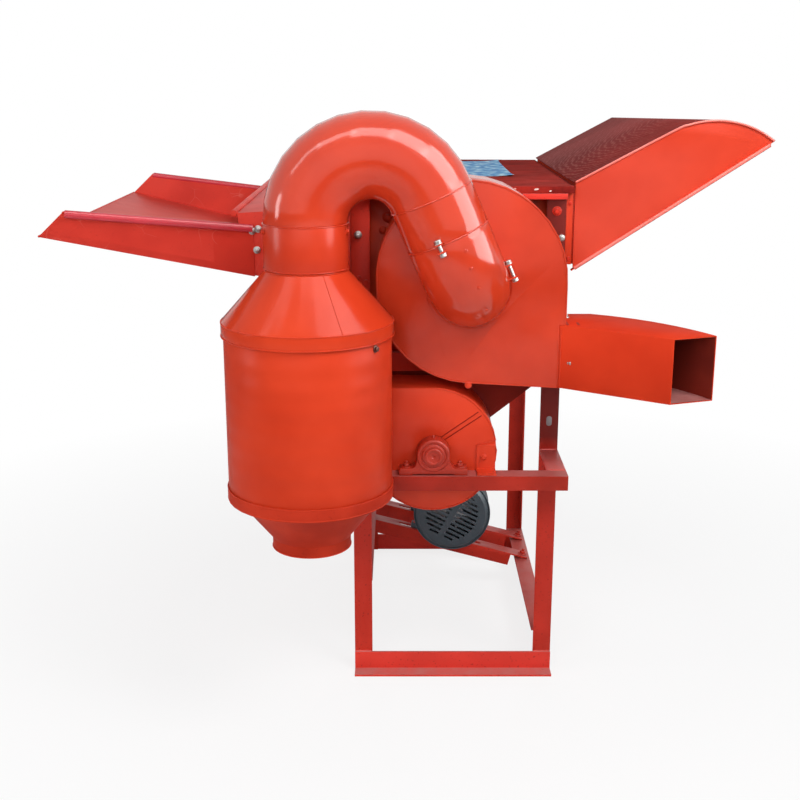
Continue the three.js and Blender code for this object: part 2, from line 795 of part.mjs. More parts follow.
function knuckle(i, innerRadius, trim) {
  const pitch = hingeLength / hingeKnuckleCount;
  const x0 = -hingeLength / 2 + i * pitch + trim;
  const x1 = x0 + pitch - 2 * trim;
  const profile = innerRadius > 0
    ? ringProfile(innerRadius, hingeKnuckleRadius, x0, x1)
    : rodProfile(hingeKnuckleRadius, x0, x1);
  const roll = revolveY(profile, smallFaces).rotateZ(-Math.PI / 2).translate(0, hingeY, hingeZ);
  return { roll, x0, x1 };
}

function addLid() {
  const x0 = frameLeft - lidLeftOverhang;
  const x1 = frameRight + lidRightOverhang;
  const y0 = fanBack + fit;
  const top = lidBottom + lidHeight;
  const shell = cut(
    block(x0, x1, y0, lidRear, lidBottom, top),
    block(x0 + sheet, x1 - sheet, y0 + sheet, lidRear - sheet, lidBottom - overrun, top - sheet));
  const rolls = [];
  for (let i = 1; i < hingeKnuckleCount; i += 2) {
    const { roll, x0: a, x1: b } = knuckle(i, hingePinDiameter / 2 + fit, fit);
    const tongue = block(a, b, lidRear - sheet, lidRear + sheet, hingeZ - sheet, hingeZ + sheet);
    rolls.push(roll, tongue);
  }
  add('lid', join(shell, ...rolls), bodyPaint());
  const pin = revolveY(rodProfile(hingePinDiameter / 2, -hingeLength / 2, hingeLength / 2), smallFaces);
  const leafY = lidRear + fit;
  const half = hingeLength / 2;
  const leaf = block(-half, half, leafY, leafY + sheet, topRailTop - hingeLeafHeight, topRailTop);
  const fixed = [];
  for (let i = 0; i < hingeKnuckleCount; i += 2) {
    const { roll, x0: a, x1: b } = knuckle(i, 0, fit);
    fixed.push(roll, block(a, b, leafY, leafY + sheet, topRailTop - sheet, hingeZ));
  }
  const laidPin = pin.rotateZ(-Math.PI / 2).translate(0, hingeY, hingeZ);
  add('lid_hinge', join(leaf, laidPin, ...fixed), bareSteel());
}

// Suction fan housing: a scroll with a square outlet at its lower right, stepped back for the
// elbow, and a ring round the inlet that takes the duct's end
function fanOutline() {
  const arc = (a, b, from, to) => arcPoints(drumX, drumZ, a, b, from, to, arcSteps);
  return [
    [outletX, fanBottom], [outletX, outletTop + fit], [fanRight, outletTop + fit],
    ...arc(fanRadius, fanTopRadius, 0, Math.PI / 2),
    ...arc(fanTopRadius, fanLeftRadius, Math.PI / 2, Math.PI).slice(1),
    ...arc(fanLeftRadius, fanLowRadius, Math.PI, threeQuarters).slice(1),
  ];
}

function addFanHousing() {
  const outline = fanOutline();
  const inner = inset(outline, () => sheet);
  const inletHole = rodY(
    fanInletRadius, fanFront - overrun, fanFront + sheet + overrun, drumX, drumZ, roundFaces);
  const outlet = block(outletX - sheet - overrun, outletX + overrun, fanFront + sheet, fanBack - sheet,
    fanBottom + sheet, outletTop - sheet);
  const housing = cut(
    prismY(outline, fanFront, fanBack), prismY(inner, fanFront + sheet, fanBack - sheet),
    inletHole, shaftHole(fanBack - sheet), outlet);
  const ringInner = ductRadius + inletRingGap;
  const ring = revolveY(
    ringProfile(ringInner, ringInner + inletRingWidth, fanFront - inletRingLength, fanFront + sheet / 2));
  add('suction_fan_housing', join(housing, ring.translate(drumX, 0, drumZ)), bodyPaint());
}

// Wheel with a hub, a rear disc and flat radial blades
function impeller(size) {
  const { y0, y1, radius, hub, bore, blades } = size;
  const disc = revolveY(ringProfile(bore, radius, y1 - sheet, y1), pulleyFaces);
  const centre = revolveY(ringProfile(bore, hub, y0, y1), smallFaces);
  const parts = [];
  for (let i = 0; i < blades; i += 1) {
    const half = fanBladeThickness / 2;
    const blade = block(hub - sheet, radius, y0, y1 - sheet / 2, -half, half);
    parts.push(blade.rotateY((i / blades) * 2 * Math.PI));
  }
  return join(disc, centre, ...parts);
}

function addSuctionImpeller() {
  const y0 = fanFront + sheet + impellerFrontGap;
  const wheel = impeller({
    y0, y1: y0 + impellerWidth, radius: impellerRadius, hub: impellerHubRadius,
    bore: shaftDiameter / 2 + fit, blades: fanBladeCount,
  });
  add('suction_impeller', wheel.translate(drumX, 0, drumZ), castIron());
}

// Rectangular elbow that throws the dust out to the right and forward
function addDischargeElbow() {
  const x0 = outletX + fit;
  const near = fanFront;
  const far = fanBack;
  const mouthNear = [x0 + elbowMouthX, near - elbowMouthY];
  const mouthFar = [
    mouthNear[0] + elbowMouthWidth * Math.cos(elbowMouthTurn),
    mouthNear[1] + elbowMouthWidth * Math.sin(elbowMouthTurn),
  ];
  const [kneeRun, kneeDrop] = elbowKneeShares.map((share) => elbowMouthWidth * share);
  const knee = [mouthFar[0] - kneeRun, far - kneeDrop];
  const curve = new THREE.QuadraticBezierCurve(
    new THREE.Vector2(...mouthFar), new THREE.Vector2(...knee), new THREE.Vector2(x0 + elbowStub, far));
  const back = curve.getPoints(arcSteps).map((p) => [p.x, p.y]);
  const outline = [[x0, near], [x0 + elbowNearStub, near], mouthNear, ...back, [x0, far]];
  const open = new Set([2, outline.length - 1]);
  const inner = inset(outline, (i) => (open.has(i) ? -overrun : sheet));
  const elbow = cut(
    prismZ(outline, fanBottom, outletTop), prismZ(inner, fanBottom + sheet, outletTop - sheet));
  add('discharge_elbow', elbow, bodyPaint());
}

// Centre line of the suction duct: from the cyclone's neck up, over and into the fan's front
class Arc3 extends THREE.Curve {
  constructor(start, direction, endDirection, radius) {
    super();
    this.radius = radius;
    this.turn = Math.acos(direction.dot(endDirection));
    this.forward = direction.clone();
    this.inward = endDirection.clone().addScaledVector(direction, -direction.dot(endDirection)).normalize();
    this.centre = start.clone().addScaledVector(this.inward, radius);
  }

  getPoint(t, target = new THREE.Vector3()) {
    const angle = t * this.turn;
    return target.copy(this.centre)
      .addScaledVector(this.forward, this.radius * Math.sin(angle))
      .addScaledVector(this.inward, -this.radius * Math.cos(angle));
  }
}

function ductLine() {
  const inlet = new THREE.Vector3(drumX, fanFront - fit, drumZ);
  const neck = new THREE.Vector3(cycloneX, cycloneY, collarTop + fit);
  const up = new THREE.Vector3(0, 0, 1);
  const out = new THREE.Vector3(0, -1, 0);
  const right = new THREE.Vector3(1, 0, 0);
  const lean = { sin: Math.sin(ductLean), cos: Math.cos(ductLean), tan: Math.tan(ductLean) };
  const legUp = new THREE.Vector3(-lean.sin, 0, lean.cos);
  const elbow = new Arc3(inlet, out, legUp, inletElbowRadius);
  const legFoot = elbow.getPoint(1);
  const rise = bendCentreHeight - legFoot.z;
  const bendRadius = (legFoot.x - neck.x - lean.tan * rise) / (1 + lean.cos + lean.sin * lean.tan);
  const legLength = (rise + bendRadius * lean.sin) / lean.cos;
  const legHead = legFoot.clone().addScaledVector(legUp, legLength);
  const bendFoot = new THREE.Vector3(neck.x, neck.y, bendCentreHeight);
  const firstHalf = new Arc3(bendFoot, up, right, bendRadius);
  const secondHalf = new Arc3(firstHalf.getPoint(1), right, legUp.clone().negate(), bendRadius);
  return { neck, bendFoot, firstHalf, secondHalf, legHead, legFoot, legUp, elbow, legLength };
}

class Reversed extends THREE.Curve {
  constructor(curve) {
    super();
    this.curve = curve;
  }

  getPoint(t, target = new THREE.Vector3()) {
    return this.curve.getPoint(1 - t, target);
  }
}

function pipeAlong(curves, steps) {
  const path = new THREE.CurvePath();
  for (const curve of curves) path.add(curve);
  const circle = (radius) => arcPoints(0, 0, radius, radius, 0, 2 * Math.PI, ductFaces).slice(0, -1);
  const shape = outlineShape(circle(ductRadius));
  shape.holes.push(new THREE.Path(circle(ductRadius - sheet).map(([u, v]) => new THREE.Vector2(u, v))));
  return new THREE.ExtrudeGeometry(shape, { steps, extrudePath: path, bevelEnabled: false });
}

function addSuctionDuct() {
  const line = ductLine();
  const seam = line.legHead.clone().addScaledVector(line.legUp, -line.legLength * ductSeamShare);
  const below = seam.clone().addScaledVector(line.legUp, -fit);
  const bend = pipeAlong([
    new THREE.LineCurve3(line.neck, line.bendFoot), line.firstHalf, line.secondHalf,
    new THREE.LineCurve3(line.legHead, seam),
  ], bendSteps);
  add('suction_duct_bend', bend, bodyPaint());
  const elbow = pipeAlong(
    [new THREE.LineCurve3(below, line.legFoot), new Reversed(line.elbow)], elbowSteps);
  add('suction_duct_elbow', elbow, bodyPaint());
  const collar = revolveZ(
    ringProfile(cycloneNeckRadius + fit, collarRadius, cycloneConeTop + sheet, collarTop));
  add('duct_collar', collar.translate(cycloneX, cycloneY, 0), bodyPaint());
}

// Cyclone: a lid with skirt, cone and neck, a straight body, and a bottom cone with its spout
function blowerOutletBounds() {
  const top = blowerZ + blowerTopRadius;
  return { top, bottom: top - blowerOutletHeight };
}

function addCyclone() {
  const lidFoot = cycloneShoulder - upperSkirtHeight;
  const innerLid = cycloneLidRadius - sheet;
  const innerNeck = cycloneNeckRadius - sheet;
  const innerShoulder = cycloneShoulder - sheet / 2;
  const lid = revolveZ([
    [innerLid, lidFoot], [cycloneLidRadius, lidFoot], [cycloneLidRadius, cycloneShoulder],
    [cycloneNeckRadius, cycloneConeTop], [cycloneNeckRadius, collarTop], [innerNeck, collarTop],
    [innerNeck, cycloneConeTop - sheet / 2], [innerLid, innerShoulder], [innerLid, lidFoot],
  ]);
  add('cyclone_lid', lid.translate(cycloneX, cycloneY, 0), bodyPaint());
  const finder = revolveZ(ringProfile(innerNeck - fit - sheet, innerNeck - fit, finderBottom, collarTop));
  add('vortex_finder', finder.translate(cycloneX, cycloneY, 0), bodyPaint());
  const bodyTop = innerShoulder + (cycloneLidGap * upperConeHeight) / (innerLid - innerNeck) - 2 * fit;
  const body = revolveZ(
    ringProfile(cycloneRadius - sheet, cycloneRadius, cycloneFoot + sheet + fit, bodyTop));
  const outlet = blowerOutletBounds();
  const way = block(cycloneX, cycloneX + cycloneRadius + overrun, blowerFront + sheet, blowerBack,
    outlet.bottom + sheet, outlet.top - sheet);
  add('cyclone_body', cut(body.translate(cycloneX, cycloneY, 0), way), bodyPaint());
  const skirtTop = cycloneFoot + lowerSkirtHeight;
  const cone = revolveZ([
    [innerNeck, spoutBottom], [cycloneNeckRadius, spoutBottom], [cycloneNeckRadius, spoutTop],
    [lowerConeRadius, cycloneFoot], [cycloneSkirtRadius, cycloneFoot], [cycloneSkirtRadius, skirtTop],
    [cycloneRadius + fit, skirtTop], [cycloneRadius + fit, cycloneFoot + sheet],
    [lowerConeRadius - sheet, cycloneFoot + sheet], [innerNeck, spoutTop + sheet / 2],
    [innerNeck, spoutBottom],
  ]);
  add('cyclone_cone', cone.translate(cycloneX, cycloneY, 0), bodyPaint());
}

// Blower: a small scroll whose outlet runs left into the cyclone's back
function blowerOutline() {
  const { top, bottom } = blowerOutletBounds();
  const tongue = Math.PI + Math.asin((blowerZ - bottom) / blowerTongueRadius);
  const arc = (a, b, from, to) => arcPoints(blowerX, blowerZ, a, b, from, to, arcSteps);
  return [
    [cycloneX, bottom],
    ...arc(blowerTongueRadius, blowerBottomRadius, tongue, threeQuarters),
    ...arc(blowerBottomRadius, blowerRightRadius, threeQuarters, 2 * Math.PI).slice(1),
    ...arc(blowerRightRadius, blowerTopRadius, 0, Math.PI / 2).slice(1),
    [cycloneX, top],
  ];
}

function addBlowerHousing() {
  const outline = blowerOutline();
  const inner = inset(outline, (i) => (i === outline.length - 1 ? -overrun : sheet));
  const cycloneSpace = revolveZ(rodProfile(cycloneRadius + fit, 0, postHeight), 2 * roundFaces);
  const lowerBand = revolveZ(rodProfile(
    cycloneSkirtRadius + fit, 0, cycloneFoot + lowerSkirtHeight + fit), 2 * roundFaces);
  const shaftWay = rodY(
    blowerShaftDiameter, blowerFront - overrun, blowerFront + sheet + overrun, blowerX, blowerZ);
  const inlet = rodY(
    blowerInletRadius, blowerBack - sheet - overrun, blowerBack + overrun, blowerX, blowerZ, pulleyFaces);
  const bend = [blowerX - blowerImpellerRadius, blowerBack];
  const tangent = [cycloneX, cycloneY + cycloneRadius];
  const taper = [
    bend, [bend[0], overrun], [tangent[0] - overrun, overrun], [tangent[0] - overrun, tangent[1]], tangent,
  ];
  const behind = (shift) => prismZ(taper.map(([x, y]) => [x, y - shift]), 0, postHeight);
  const housing = cut(
    cut(prismY(outline, blowerFront, blowerBack), behind(0)),
    cut(prismY(inner, blowerFront + sheet, blowerBack - sheet), behind(sheet)),
    shaftWay, inlet,
    cycloneSpace.translate(cycloneX, cycloneY, 0), lowerBand.translate(cycloneX, cycloneY, 0));
  const footZ = blowerRailTop + fit;
  const [x0, x1] = [footX - footWidth / 2, footX + footWidth / 2];
  const upright = block(
    x0, x1, blowerFront - angleThickness, blowerFront + sheet / 2, footZ, footZ + footHeight);
  const toe = block(x0, x1, angleThickness - blowerRailReach, blowerFront, footZ, footZ + angleThickness);
  add('blower_housing', join(housing, upright, toe), bodyPaint());
}

function addBlowerRotor() {
  const middle = (blowerFront + blowerBack) / 2;
  const wheel = impeller({
    y0: middle - blowerImpellerWidth / 2, y1: middle + blowerImpellerWidth / 2,
    radius: blowerImpellerRadius,
    hub: blowerShaftDiameter, bore: blowerShaftDiameter / 2 + fit, blades: blowerBladeCount,
  });
  add('blower_impeller', wheel.translate(blowerX, 0, blowerZ), castIron());
  const shaft = rodY(blowerShaftDiameter / 2, pillowY - pillowWidth / 2 - sheet,
    blowerBeltY + pulleyWidth / 2 + sheet, blowerX, blowerZ);
  add('blower_shaft', shaft, bareSteel());
}

// Bearings: pillow blocks for the blower, square flange units for the drum
function pillowBlock(y) {
  const foot = blowerRailTop + fit;
  const instep = foot + pillowFootHeight;
  const [left, right] = [blowerX - pillowLength / 2, blowerX + pillowLength / 2];
  const body = [
    [left, foot], [right, foot], [right, instep], [blowerX + pillowHubRadius, instep],
    ...arcPoints(blowerX, blowerZ, pillowHubRadius, pillowHubRadius, 0, Math.PI, smallFaces),
    [blowerX - pillowHubRadius, instep], [left, instep],
  ];
  const bore = rodY(blowerShaftDiameter / 2 + fit, y - pillowWidth, y + pillowWidth, blowerX, blowerZ);
  return cut(prismY(body, y - pillowWidth / 2, y + pillowWidth / 2), bore);
}

function flangeBearing(wall, side) {
  const half = bearingFlangeWidth / 2;
  const from = wall - side * fit;
  const flangeEnd = from - side * bearingFlangeThickness;
  const hubEnd = from - side * bearingDepth;
  const [f0, f1] = [Math.min(from, flangeEnd), Math.max(from, flangeEnd)];
  const [h0, h1] = [Math.min(from, hubEnd), Math.max(from, hubEnd)];
  const flange = block(drumX - half, drumX + half, f0, f1, drumZ - half, drumZ + half);
  const hub = rodY(bearingHubRadius, h0, h1, drumX, drumZ, pulleyFaces);
  const bore = rodY(shaftDiameter / 2 + fit, h0 - overrun, h1 + overrun, drumX, drumZ);
  return cut(join(flange, hub), bore);
}

function addBearings() {
  add('blower_bearing_front', pillowBlock(pillowY), bodyPaint());
  add('blower_bearing_rear', pillowBlock(frameDepth - angleThickness - fit - angleLeg / 2), bodyPaint());
  add('drum_bearing_front', flangeBearing(wallFront, 1), castIron());
  add('drum_bearing_rear', flangeBearing(wallRear, -1), castIron());
}

// Threshing drum: discs on a hub, bars across them and rows of pegs
const drumFront = boxInnerFront + drumEndGap;
const drumRear = boxInnerRear - drumEndGap;

function drumBar(index) {
  const half = drumBarWidth / 2;
  const bar = block(
    drumDiscRadius - sheet, drumDiscRadius + drumBarThickness, drumFront, drumRear, -half, half);
  const pitch = (drumRear - drumFront) / pegsPerBar;
  const placeShare = pegPlaceShares[index % pegPlaceShares.length];
  const pegs = [];
  for (let i = 0; i < pegsPerBar; i += 1) {
    const upright = revolveY(rodProfile(pegDiameter / 2, drumDiscRadius, drumRadius), rodFaces);
    const peg = upright.rotateZ(-Math.PI / 2);
    pegs.push(peg.translate(0, drumFront + (i + placeShare) * pitch, 0));
  }
  return join(bar, ...pegs).rotateY(((index + drumBarStartShare) / drumBarCount) * 2 * Math.PI);
}

function addDrum() {
  const parts = [];
  const bore = shaftDiameter / 2 + fit;
  const middle = (drumFront + drumRear) / 2;
  const places = [drumFront, middle - drumDiscThickness / 2, drumRear - drumDiscThickness];
  for (const y of places) {
    parts.push(revolveY(ringProfile(bore, drumDiscRadius, y, y + drumDiscThickness)));
    const hubY = Math.min(Math.max(y - drumHubLength / 2, drumFront), drumRear - drumHubLength);
    parts.push(revolveY(ringProfile(bore, drumHubRadius, hubY, hubY + drumHubLength), smallFaces));
  }
  for (let i = 0; i < drumBarCount; i += 1) parts.push(drumBar(i));
  const drum = join(...parts);
  add('threshing_drum', drum.translate(drumX, 0, drumZ), castIron());
  const shaft = rodY(shaftDiameter / 2, fanFront + sheet + impellerFrontGap - sheet,
    mainBeltY + pulleyWidth / 2 + overrun, drumX, drumZ);
  add('drum_shaft', shaft, bareSteel());
}

// Concave: curved ribs that carry round rods, with open slots between the rods
function addConcave() {
  const outerRadius = concaveRadius + concaveDepth;
  const ribLine = [
    ...arcPoints(drumX, drumZ, outerRadius, outerRadius, concaveStart, concaveEnd, concaveSteps),
    ...arcPoints(drumX, drumZ, concaveRadius, concaveRadius, concaveEnd, concaveStart, concaveSteps),
  ];
  const y0 = boxInnerFront + fit;
  const y1 = boxInnerRear - fit;
  const middle = (y0 + y1 - concaveRibThickness) / 2;
  const parts = [y0, middle, y1 - concaveRibThickness].map((y) =>
    prismY(ribLine, y, y + concaveRibThickness));
  const rodRadius = (concaveRadius + outerRadius) / 2;
  for (let i = 0; i < concaveRodCount; i += 1) {
    const angle = concaveStart + ((concaveEnd - concaveStart) * (i + 1 / 2)) / concaveRodCount;
    const x = drumX + rodRadius * Math.cos(angle);
    const z = drumZ + rodRadius * Math.sin(angle);
    parts.push(rodY(concaveRodDiameter / 2, y0 + sheet, y1 - sheet, x, z, rodFaces));
  }
  add('concave', join(...parts), framePaint());
}

// Pulleys with a V groove for each belt, and the belts
function grooveProfile(radius, y) {
  const seat = radius - beltSink;
  const base = radius - pulleyRimDepth + overrun - sheet;
  const slope = (beltTopWidth - beltBaseWidth) / 2 / beltDepth;
  const halfAt = (r) => beltTopWidth / 2 + fit + (r - seat) * slope;
  return [
    [radius, y - halfAt(radius)], [base, y - halfAt(base)],
    [base, y + halfAt(base)], [radius, y + halfAt(radius)],
  ];
}

function pulley(radius, bore, beltPlaces) {
  const y0 = beltPlaces[0] - pulleyWidth / 2;
  const y1 = beltPlaces[beltPlaces.length - 1] + pulleyWidth / 2;
  const profile = [[bore, y0], [radius, y0], ...beltPlaces.flatMap((y) => grooveProfile(radius, y))];
  return revolveY([...profile, [radius, y1], [bore, y1], [bore, y0]], pulleyFaces);
}

function spokedPulley(radius, bore, y) {
  const y0 = y - pulleyWidth / 2;
  const y1 = y + pulleyWidth / 2;
  const rimInner = radius - pulleyRimDepth;
  const w0 = y - pulleyWebThickness / 2;
  const w1 = y + pulleyWebThickness / 2;
  const wheel = revolveY([
    [bore, y0], [pulleyHubRadius, y0], [pulleyHubRadius, w0], [rimInner, w0], [rimInner, y0], [radius, y0],
    ...grooveProfile(radius, y), [radius, y1], [rimInner, y1], [rimInner, w1], [pulleyHubRadius, w1],
    [pulleyHubRadius, y1], [bore, y1], [bore, y0],
  ], pulleyFaces);
  const middle = (pulleyHubRadius + rimInner) / 2;
  const holeRadius = (rimInner - pulleyHubRadius) / 2 - pulleyWebThickness / 2;
  const holes = [];
  for (let i = 0; i < pulleyHoleCount; i += 1) {
    const angle = (i / pulleyHoleCount) * 2 * Math.PI;
    holes.push(rodY(holeRadius, y0, y1, middle * Math.cos(angle), middle * Math.sin(angle)));
  }
  return cut(wheel, ...holes);
}

function beltLoop(a, b, depth) {
  const heading = Math.atan2(b.z - a.z, b.x - a.x);
  const distance = Math.hypot(b.x - a.x, b.z - a.z);
  const reach = Math.acos((a.radius - b.radius) / distance);
  const arc = (wheel, from, to) =>
    arcPoints(wheel.x, wheel.z, wheel.radius - depth, wheel.radius - depth, from, to, beltArcSteps);
  return [
    ...arc(a, heading + reach, heading + 2 * Math.PI - reach),
    ...arc(b, heading - reach, heading + reach),
  ];
}

function belt(a, b, y) {
  const outer = beltLoop(a, b, beltSink);
  const inner = beltLoop(a, b, beltSink + beltDepth);
  const rings = outer.map((point, i) => [
    [point[0], y - beltTopWidth / 2, point[1]], [point[0], y + beltTopWidth / 2, point[1]],
    [inner[i][0], y + beltBaseWidth / 2, inner[i][1]], [inner[i][0], y - beltBaseWidth / 2, inner[i][1]],
  ]);
  const index = [];
  const corners = rings[0].length;
  rings.forEach((_, i) => {
    const here = corners * i;
    const next = corners * ((i + 1) % rings.length);
    for (let k = 0; k < corners; k += 1) {
      const m = (k + 1) % corners;
      index.push(here + k, next + k, next + m, here + k, next + m, here + m);
    }
  });
  const geometry = new THREE.BufferGeometry();
  geometry.setAttribute('position', new THREE.Float32BufferAttribute(rings.flat(2), 3));
  geometry.setIndex(index);
  return outward(geometry);
}

function addDrive() {
  const motor = { x: motorX, z: motorZ, radius: motorPulleyRadius };
  const drum = { x: drumX, z: drumZ, radius: drumPulleyRadius };
  const blower = { x: blowerX, z: blowerZ, radius: blowerPulleyRadius };
  const motorPulley = pulley(motor.radius, motorShaftDiameter / 2 + fit, [blowerBeltY, mainBeltY]);
  add('motor_pulley', motorPulley.translate(motor.x, 0, motor.z), castIron());
  const drumPulley = spokedPulley(drum.radius, shaftDiameter / 2 + fit, mainBeltY);
  add('drum_pulley', drumPulley.translate(drum.x, 0, drum.z), castIron());
  const blowerPulley = pulley(blower.radius, blowerShaftDiameter / 2 + fit, [blowerBeltY]);
  add('blower_pulley', blowerPulley.translate(blower.x, 0, blower.z), castIron());
  add('main_belt', belt(motor, drum, mainBeltY), beltRubber());
  add('blower_belt', belt(motor, blower, blowerBeltY), beltRubber());
}

// Motor, drawn square and turned as one group to sit on the inclined rails
const motorGroup = new THREE.Group();
motorGroup.position.set(motorX, 0, motorZ);
motorGroup.rotation.y = motorIncline;
machine.add(motorGroup);

function stadium(u, y, length, width) {
  const half = (length - width) / 2;
  return [
    ...arcPoints(u + half, y, width / 2, width / 2, -Math.PI / 2, Math.PI / 2, slotSteps),
    ...arcPoints(u - half, y, width / 2, width / 2, Math.PI / 2, threeQuarters, slotSteps),
  ];
}

function addMotorRails() {
  for (const [name, side] of [['front', -1], ['rear', 1]]) {
    const y = motorFootY + (side * motorFootSpacing) / 2;
    const start = y - angleLeg / 2;
    const section = angleSection(start, motorRailTop, angleLeg, -motorRailHeight, angleThickness);
    const below = motorRailTop - motorRailHeight - overrun;
    const ends = [[motorRailLeft - overrun, motorRailLeft + motorRailLeftCut],
      [motorRailRight - motorRailEndCut, motorRailRight + overrun]].map(([u0, u1]) =>
      block(u0, u1, y - angleLeg, y + angleLeg, below, motorRailUnder));
    const slots = [-slotU, slotU].map((u) =>
      prismZ(stadium(u, y, slotLength, slotWidth), below, -motorRadius));
    const rail = cut(prismX(section, motorRailLeft, motorRailRight), ...ends, ...slots);
    add(`motor_rail_${name}`, rail, framePaint(), motorGroup);
  }
}

function finOutline() {
  const points = [];
  const step = (2 * Math.PI) / motorFinCount;
  for (let i = 0; i < motorFinCount; i += 1) {
    for (const [turnShare, heightShare] of motorFinShares) {
      const angle = (i + turnShare) * step;
      const radius = motorRadius + heightShare * motorFinHeight;
      points.push([radius * Math.cos(angle), radius * Math.sin(angle)]);
    }
  }
  return points;
}

function addMotor() {
  const shield = (y) => rodY(motorEndRadius, y, y + motorEndThickness, 0, 0, roundFaces);
  const parts = [prismY(finOutline(), motorBodyFront, motorBodyRear), shield(motorBodyFront - sheet),
    shield(motorBodyRear - motorEndThickness + sheet)];
  for (const side of [-1, 1]) {
    const y = motorFootY + (side * motorFootSpacing) / 2;
    const half = motorFootThickness;
    parts.push(block(-motorFootHalfWidth, motorFootHalfWidth, y - half, y + half, -motorShaftHeight,
      motorFootThickness - motorShaftHeight));
    const neck = motorRadius * motorFootNeckShare;
    parts.push(block(-neck, neck, y - half, y + half, overrun - motorShaftHeight, -neck));
  }
  const bore = rodY(
    motorShaftDiameter / 2 + fit, motorBodyFront - 2 * overrun, motorBodyRear + 2 * overrun, 0, 0);
  add('motor_body', cut(join(...parts), bore), motorPaint(), motorGroup);
  const size = terminalBoxSize / 2;
  const boxFoot = motorRadius + motorFinHeight + fit;
  const boxTop = boxFoot + terminalBoxHeight;
  const box = block(-size, size, motorFootY - size, motorFootY + size, boxFoot, boxTop);
  add('motor_terminal_box', box, motorPaint(), motorGroup);
}

function addMotorCover() {
  const inner = motorEndRadius + fit;
  const outer = inner + sheet;
  const rim = motorBodyFront + motorEndThickness - sheet;
  const bevel = motorFinHeight;
  const front = motorCoverFront;
  const cover = revolveY([
    [0, front], [outer - bevel, front], [outer, front + bevel], [outer, rim], [inner, rim],
    [inner, front + bevel + sheet / 2], [outer - bevel - sheet / 2, front + sheet], [0, front + sheet],
  ]);
  const slots = [];
  for (let row = -grilleRows; row <= grilleRows; row += 1) {
    for (const side of [-1, 1]) {
      const reach = Math.sqrt((outer - 2 * bevel) ** 2 - (row * grillePitch) ** 2) - grilleBar;
      const u0 = side < 0 ? -reach : grilleBar;
      const middle = row * grillePitch;
      const slot = block(
        u0, u0 + reach - grilleBar, front - overrun, front + sheet + overrun,
        middle - grilleSlot / 2, middle + grilleSlot / 2);
      slots.push(slot.rotateY(grilleTurn));
    }
  }
  add('motor_fan_cover', cut(cover, ...slots), motorPaint(), motorGroup);
}

function addMotorRotor() {
  const fanFoot = motorCoverFront + 2 * motorFinHeight;
  const fanHead = motorBodyFront - sheet - overrun;
  const shaft = rodY(motorShaftDiameter / 2, fanFoot, mainBeltY + pulleyWidth / 2 + sheet, 0, 0);
  const wheel = impeller({
    y0: fanFoot, y1: fanHead, radius: motorRadius, hub: motorShaftDiameter,
    bore: motorShaftDiameter / 2 - sheet, blades: fanBladeCount,
  });
  add('motor_shaft', join(shaft, wheel), bareSteel(), motorGroup);
}

addPosts();
addBaseBeams();
addSideRails();
addCrossRails();
addBlowerRail();
addWalls();
addHopper();
addConcave();
addThroat();
addTray();
addHood();
addLid();
addFanHousing();
addSuctionImpeller();
addDischargeElbow();
addSuctionDuct();
addCyclone();
addBlowerHousing();
addBlowerRotor();
addBearings();
addDrum();
addDrive();
addMotorRails();
addMotor();
addMotorCover();
addMotorRotor();

// The origin is the middle of the foot of the whole machine's box
machine.updateMatrixWorld(true);
const bounds = new THREE.Box3().setFromObject(machine, true);
machine.position.set(-(bounds.min.x + bounds.max.x) / 2, -(bounds.min.y + bounds.max.y) / 2, -bounds.min.z);

export default machine;
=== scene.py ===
"""Looks of a threshing machine: sprayed sheet metal, ducts and a cyclone on an angle-iron frame."""

import math

import bpy
from mathutils import Matrix, Vector, noise


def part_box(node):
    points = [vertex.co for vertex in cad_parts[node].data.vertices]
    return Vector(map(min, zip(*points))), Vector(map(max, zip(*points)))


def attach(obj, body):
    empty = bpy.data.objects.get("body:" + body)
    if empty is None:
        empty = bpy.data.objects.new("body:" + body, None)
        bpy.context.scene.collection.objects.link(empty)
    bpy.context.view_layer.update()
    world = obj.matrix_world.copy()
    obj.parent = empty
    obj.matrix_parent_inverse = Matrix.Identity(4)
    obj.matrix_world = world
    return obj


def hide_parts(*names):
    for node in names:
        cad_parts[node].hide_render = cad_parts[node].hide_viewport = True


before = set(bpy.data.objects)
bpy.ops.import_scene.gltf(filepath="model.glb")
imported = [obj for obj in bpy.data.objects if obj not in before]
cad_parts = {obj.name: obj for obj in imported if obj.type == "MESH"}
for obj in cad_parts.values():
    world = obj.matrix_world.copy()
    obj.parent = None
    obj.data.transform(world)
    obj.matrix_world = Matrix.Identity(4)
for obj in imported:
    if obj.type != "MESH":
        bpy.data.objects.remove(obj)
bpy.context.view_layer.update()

# The photographer's stand: 1.3 m up and 2.5 m in front of the frame, looking slightly down.
# Every place in this file is in millimetres from the middle of the frame's front: x to the
# straw hood, y to the belt side, z up from the floor.
FRAME_WIDTH = 447
FRAME_DEPTH = 710
frame_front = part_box("frame_post_front_left")[0] + Vector((FRAME_WIDTH / 2000, 0, 0))


def spot(x, y, z):
    """A place in the scene's metres."""
    return frame_front + Vector((x, y, z)) / 1000


camera_data = bpy.data.cameras.new("camera")
camera = bpy.data.objects.new("camera", camera_data)
bpy.context.scene.collection.objects.link(camera)
camera.location = spot(-120.5, -2480, 1330)
LOOK_DOWN = 15.5
camera.rotation_euler = (math.radians(90 - LOOK_DOWN), 0, 0)
# both in pixels of the photograph
PHOTO_WIDTH, FOCAL_LENGTH = 800, 1191
camera_data.sensor_width = 36
camera_data.lens = 36 * FOCAL_LENGTH / PHOTO_WIDTH
camera_data.clip_end = 60
bpy.context.scene.camera = camera

# The studio: four soft boxes give the light. An arch of strip lamps from the right over the
# machine to the left, and a small pane there, are only mirrored, and draw the long gloss band
# on the duct.


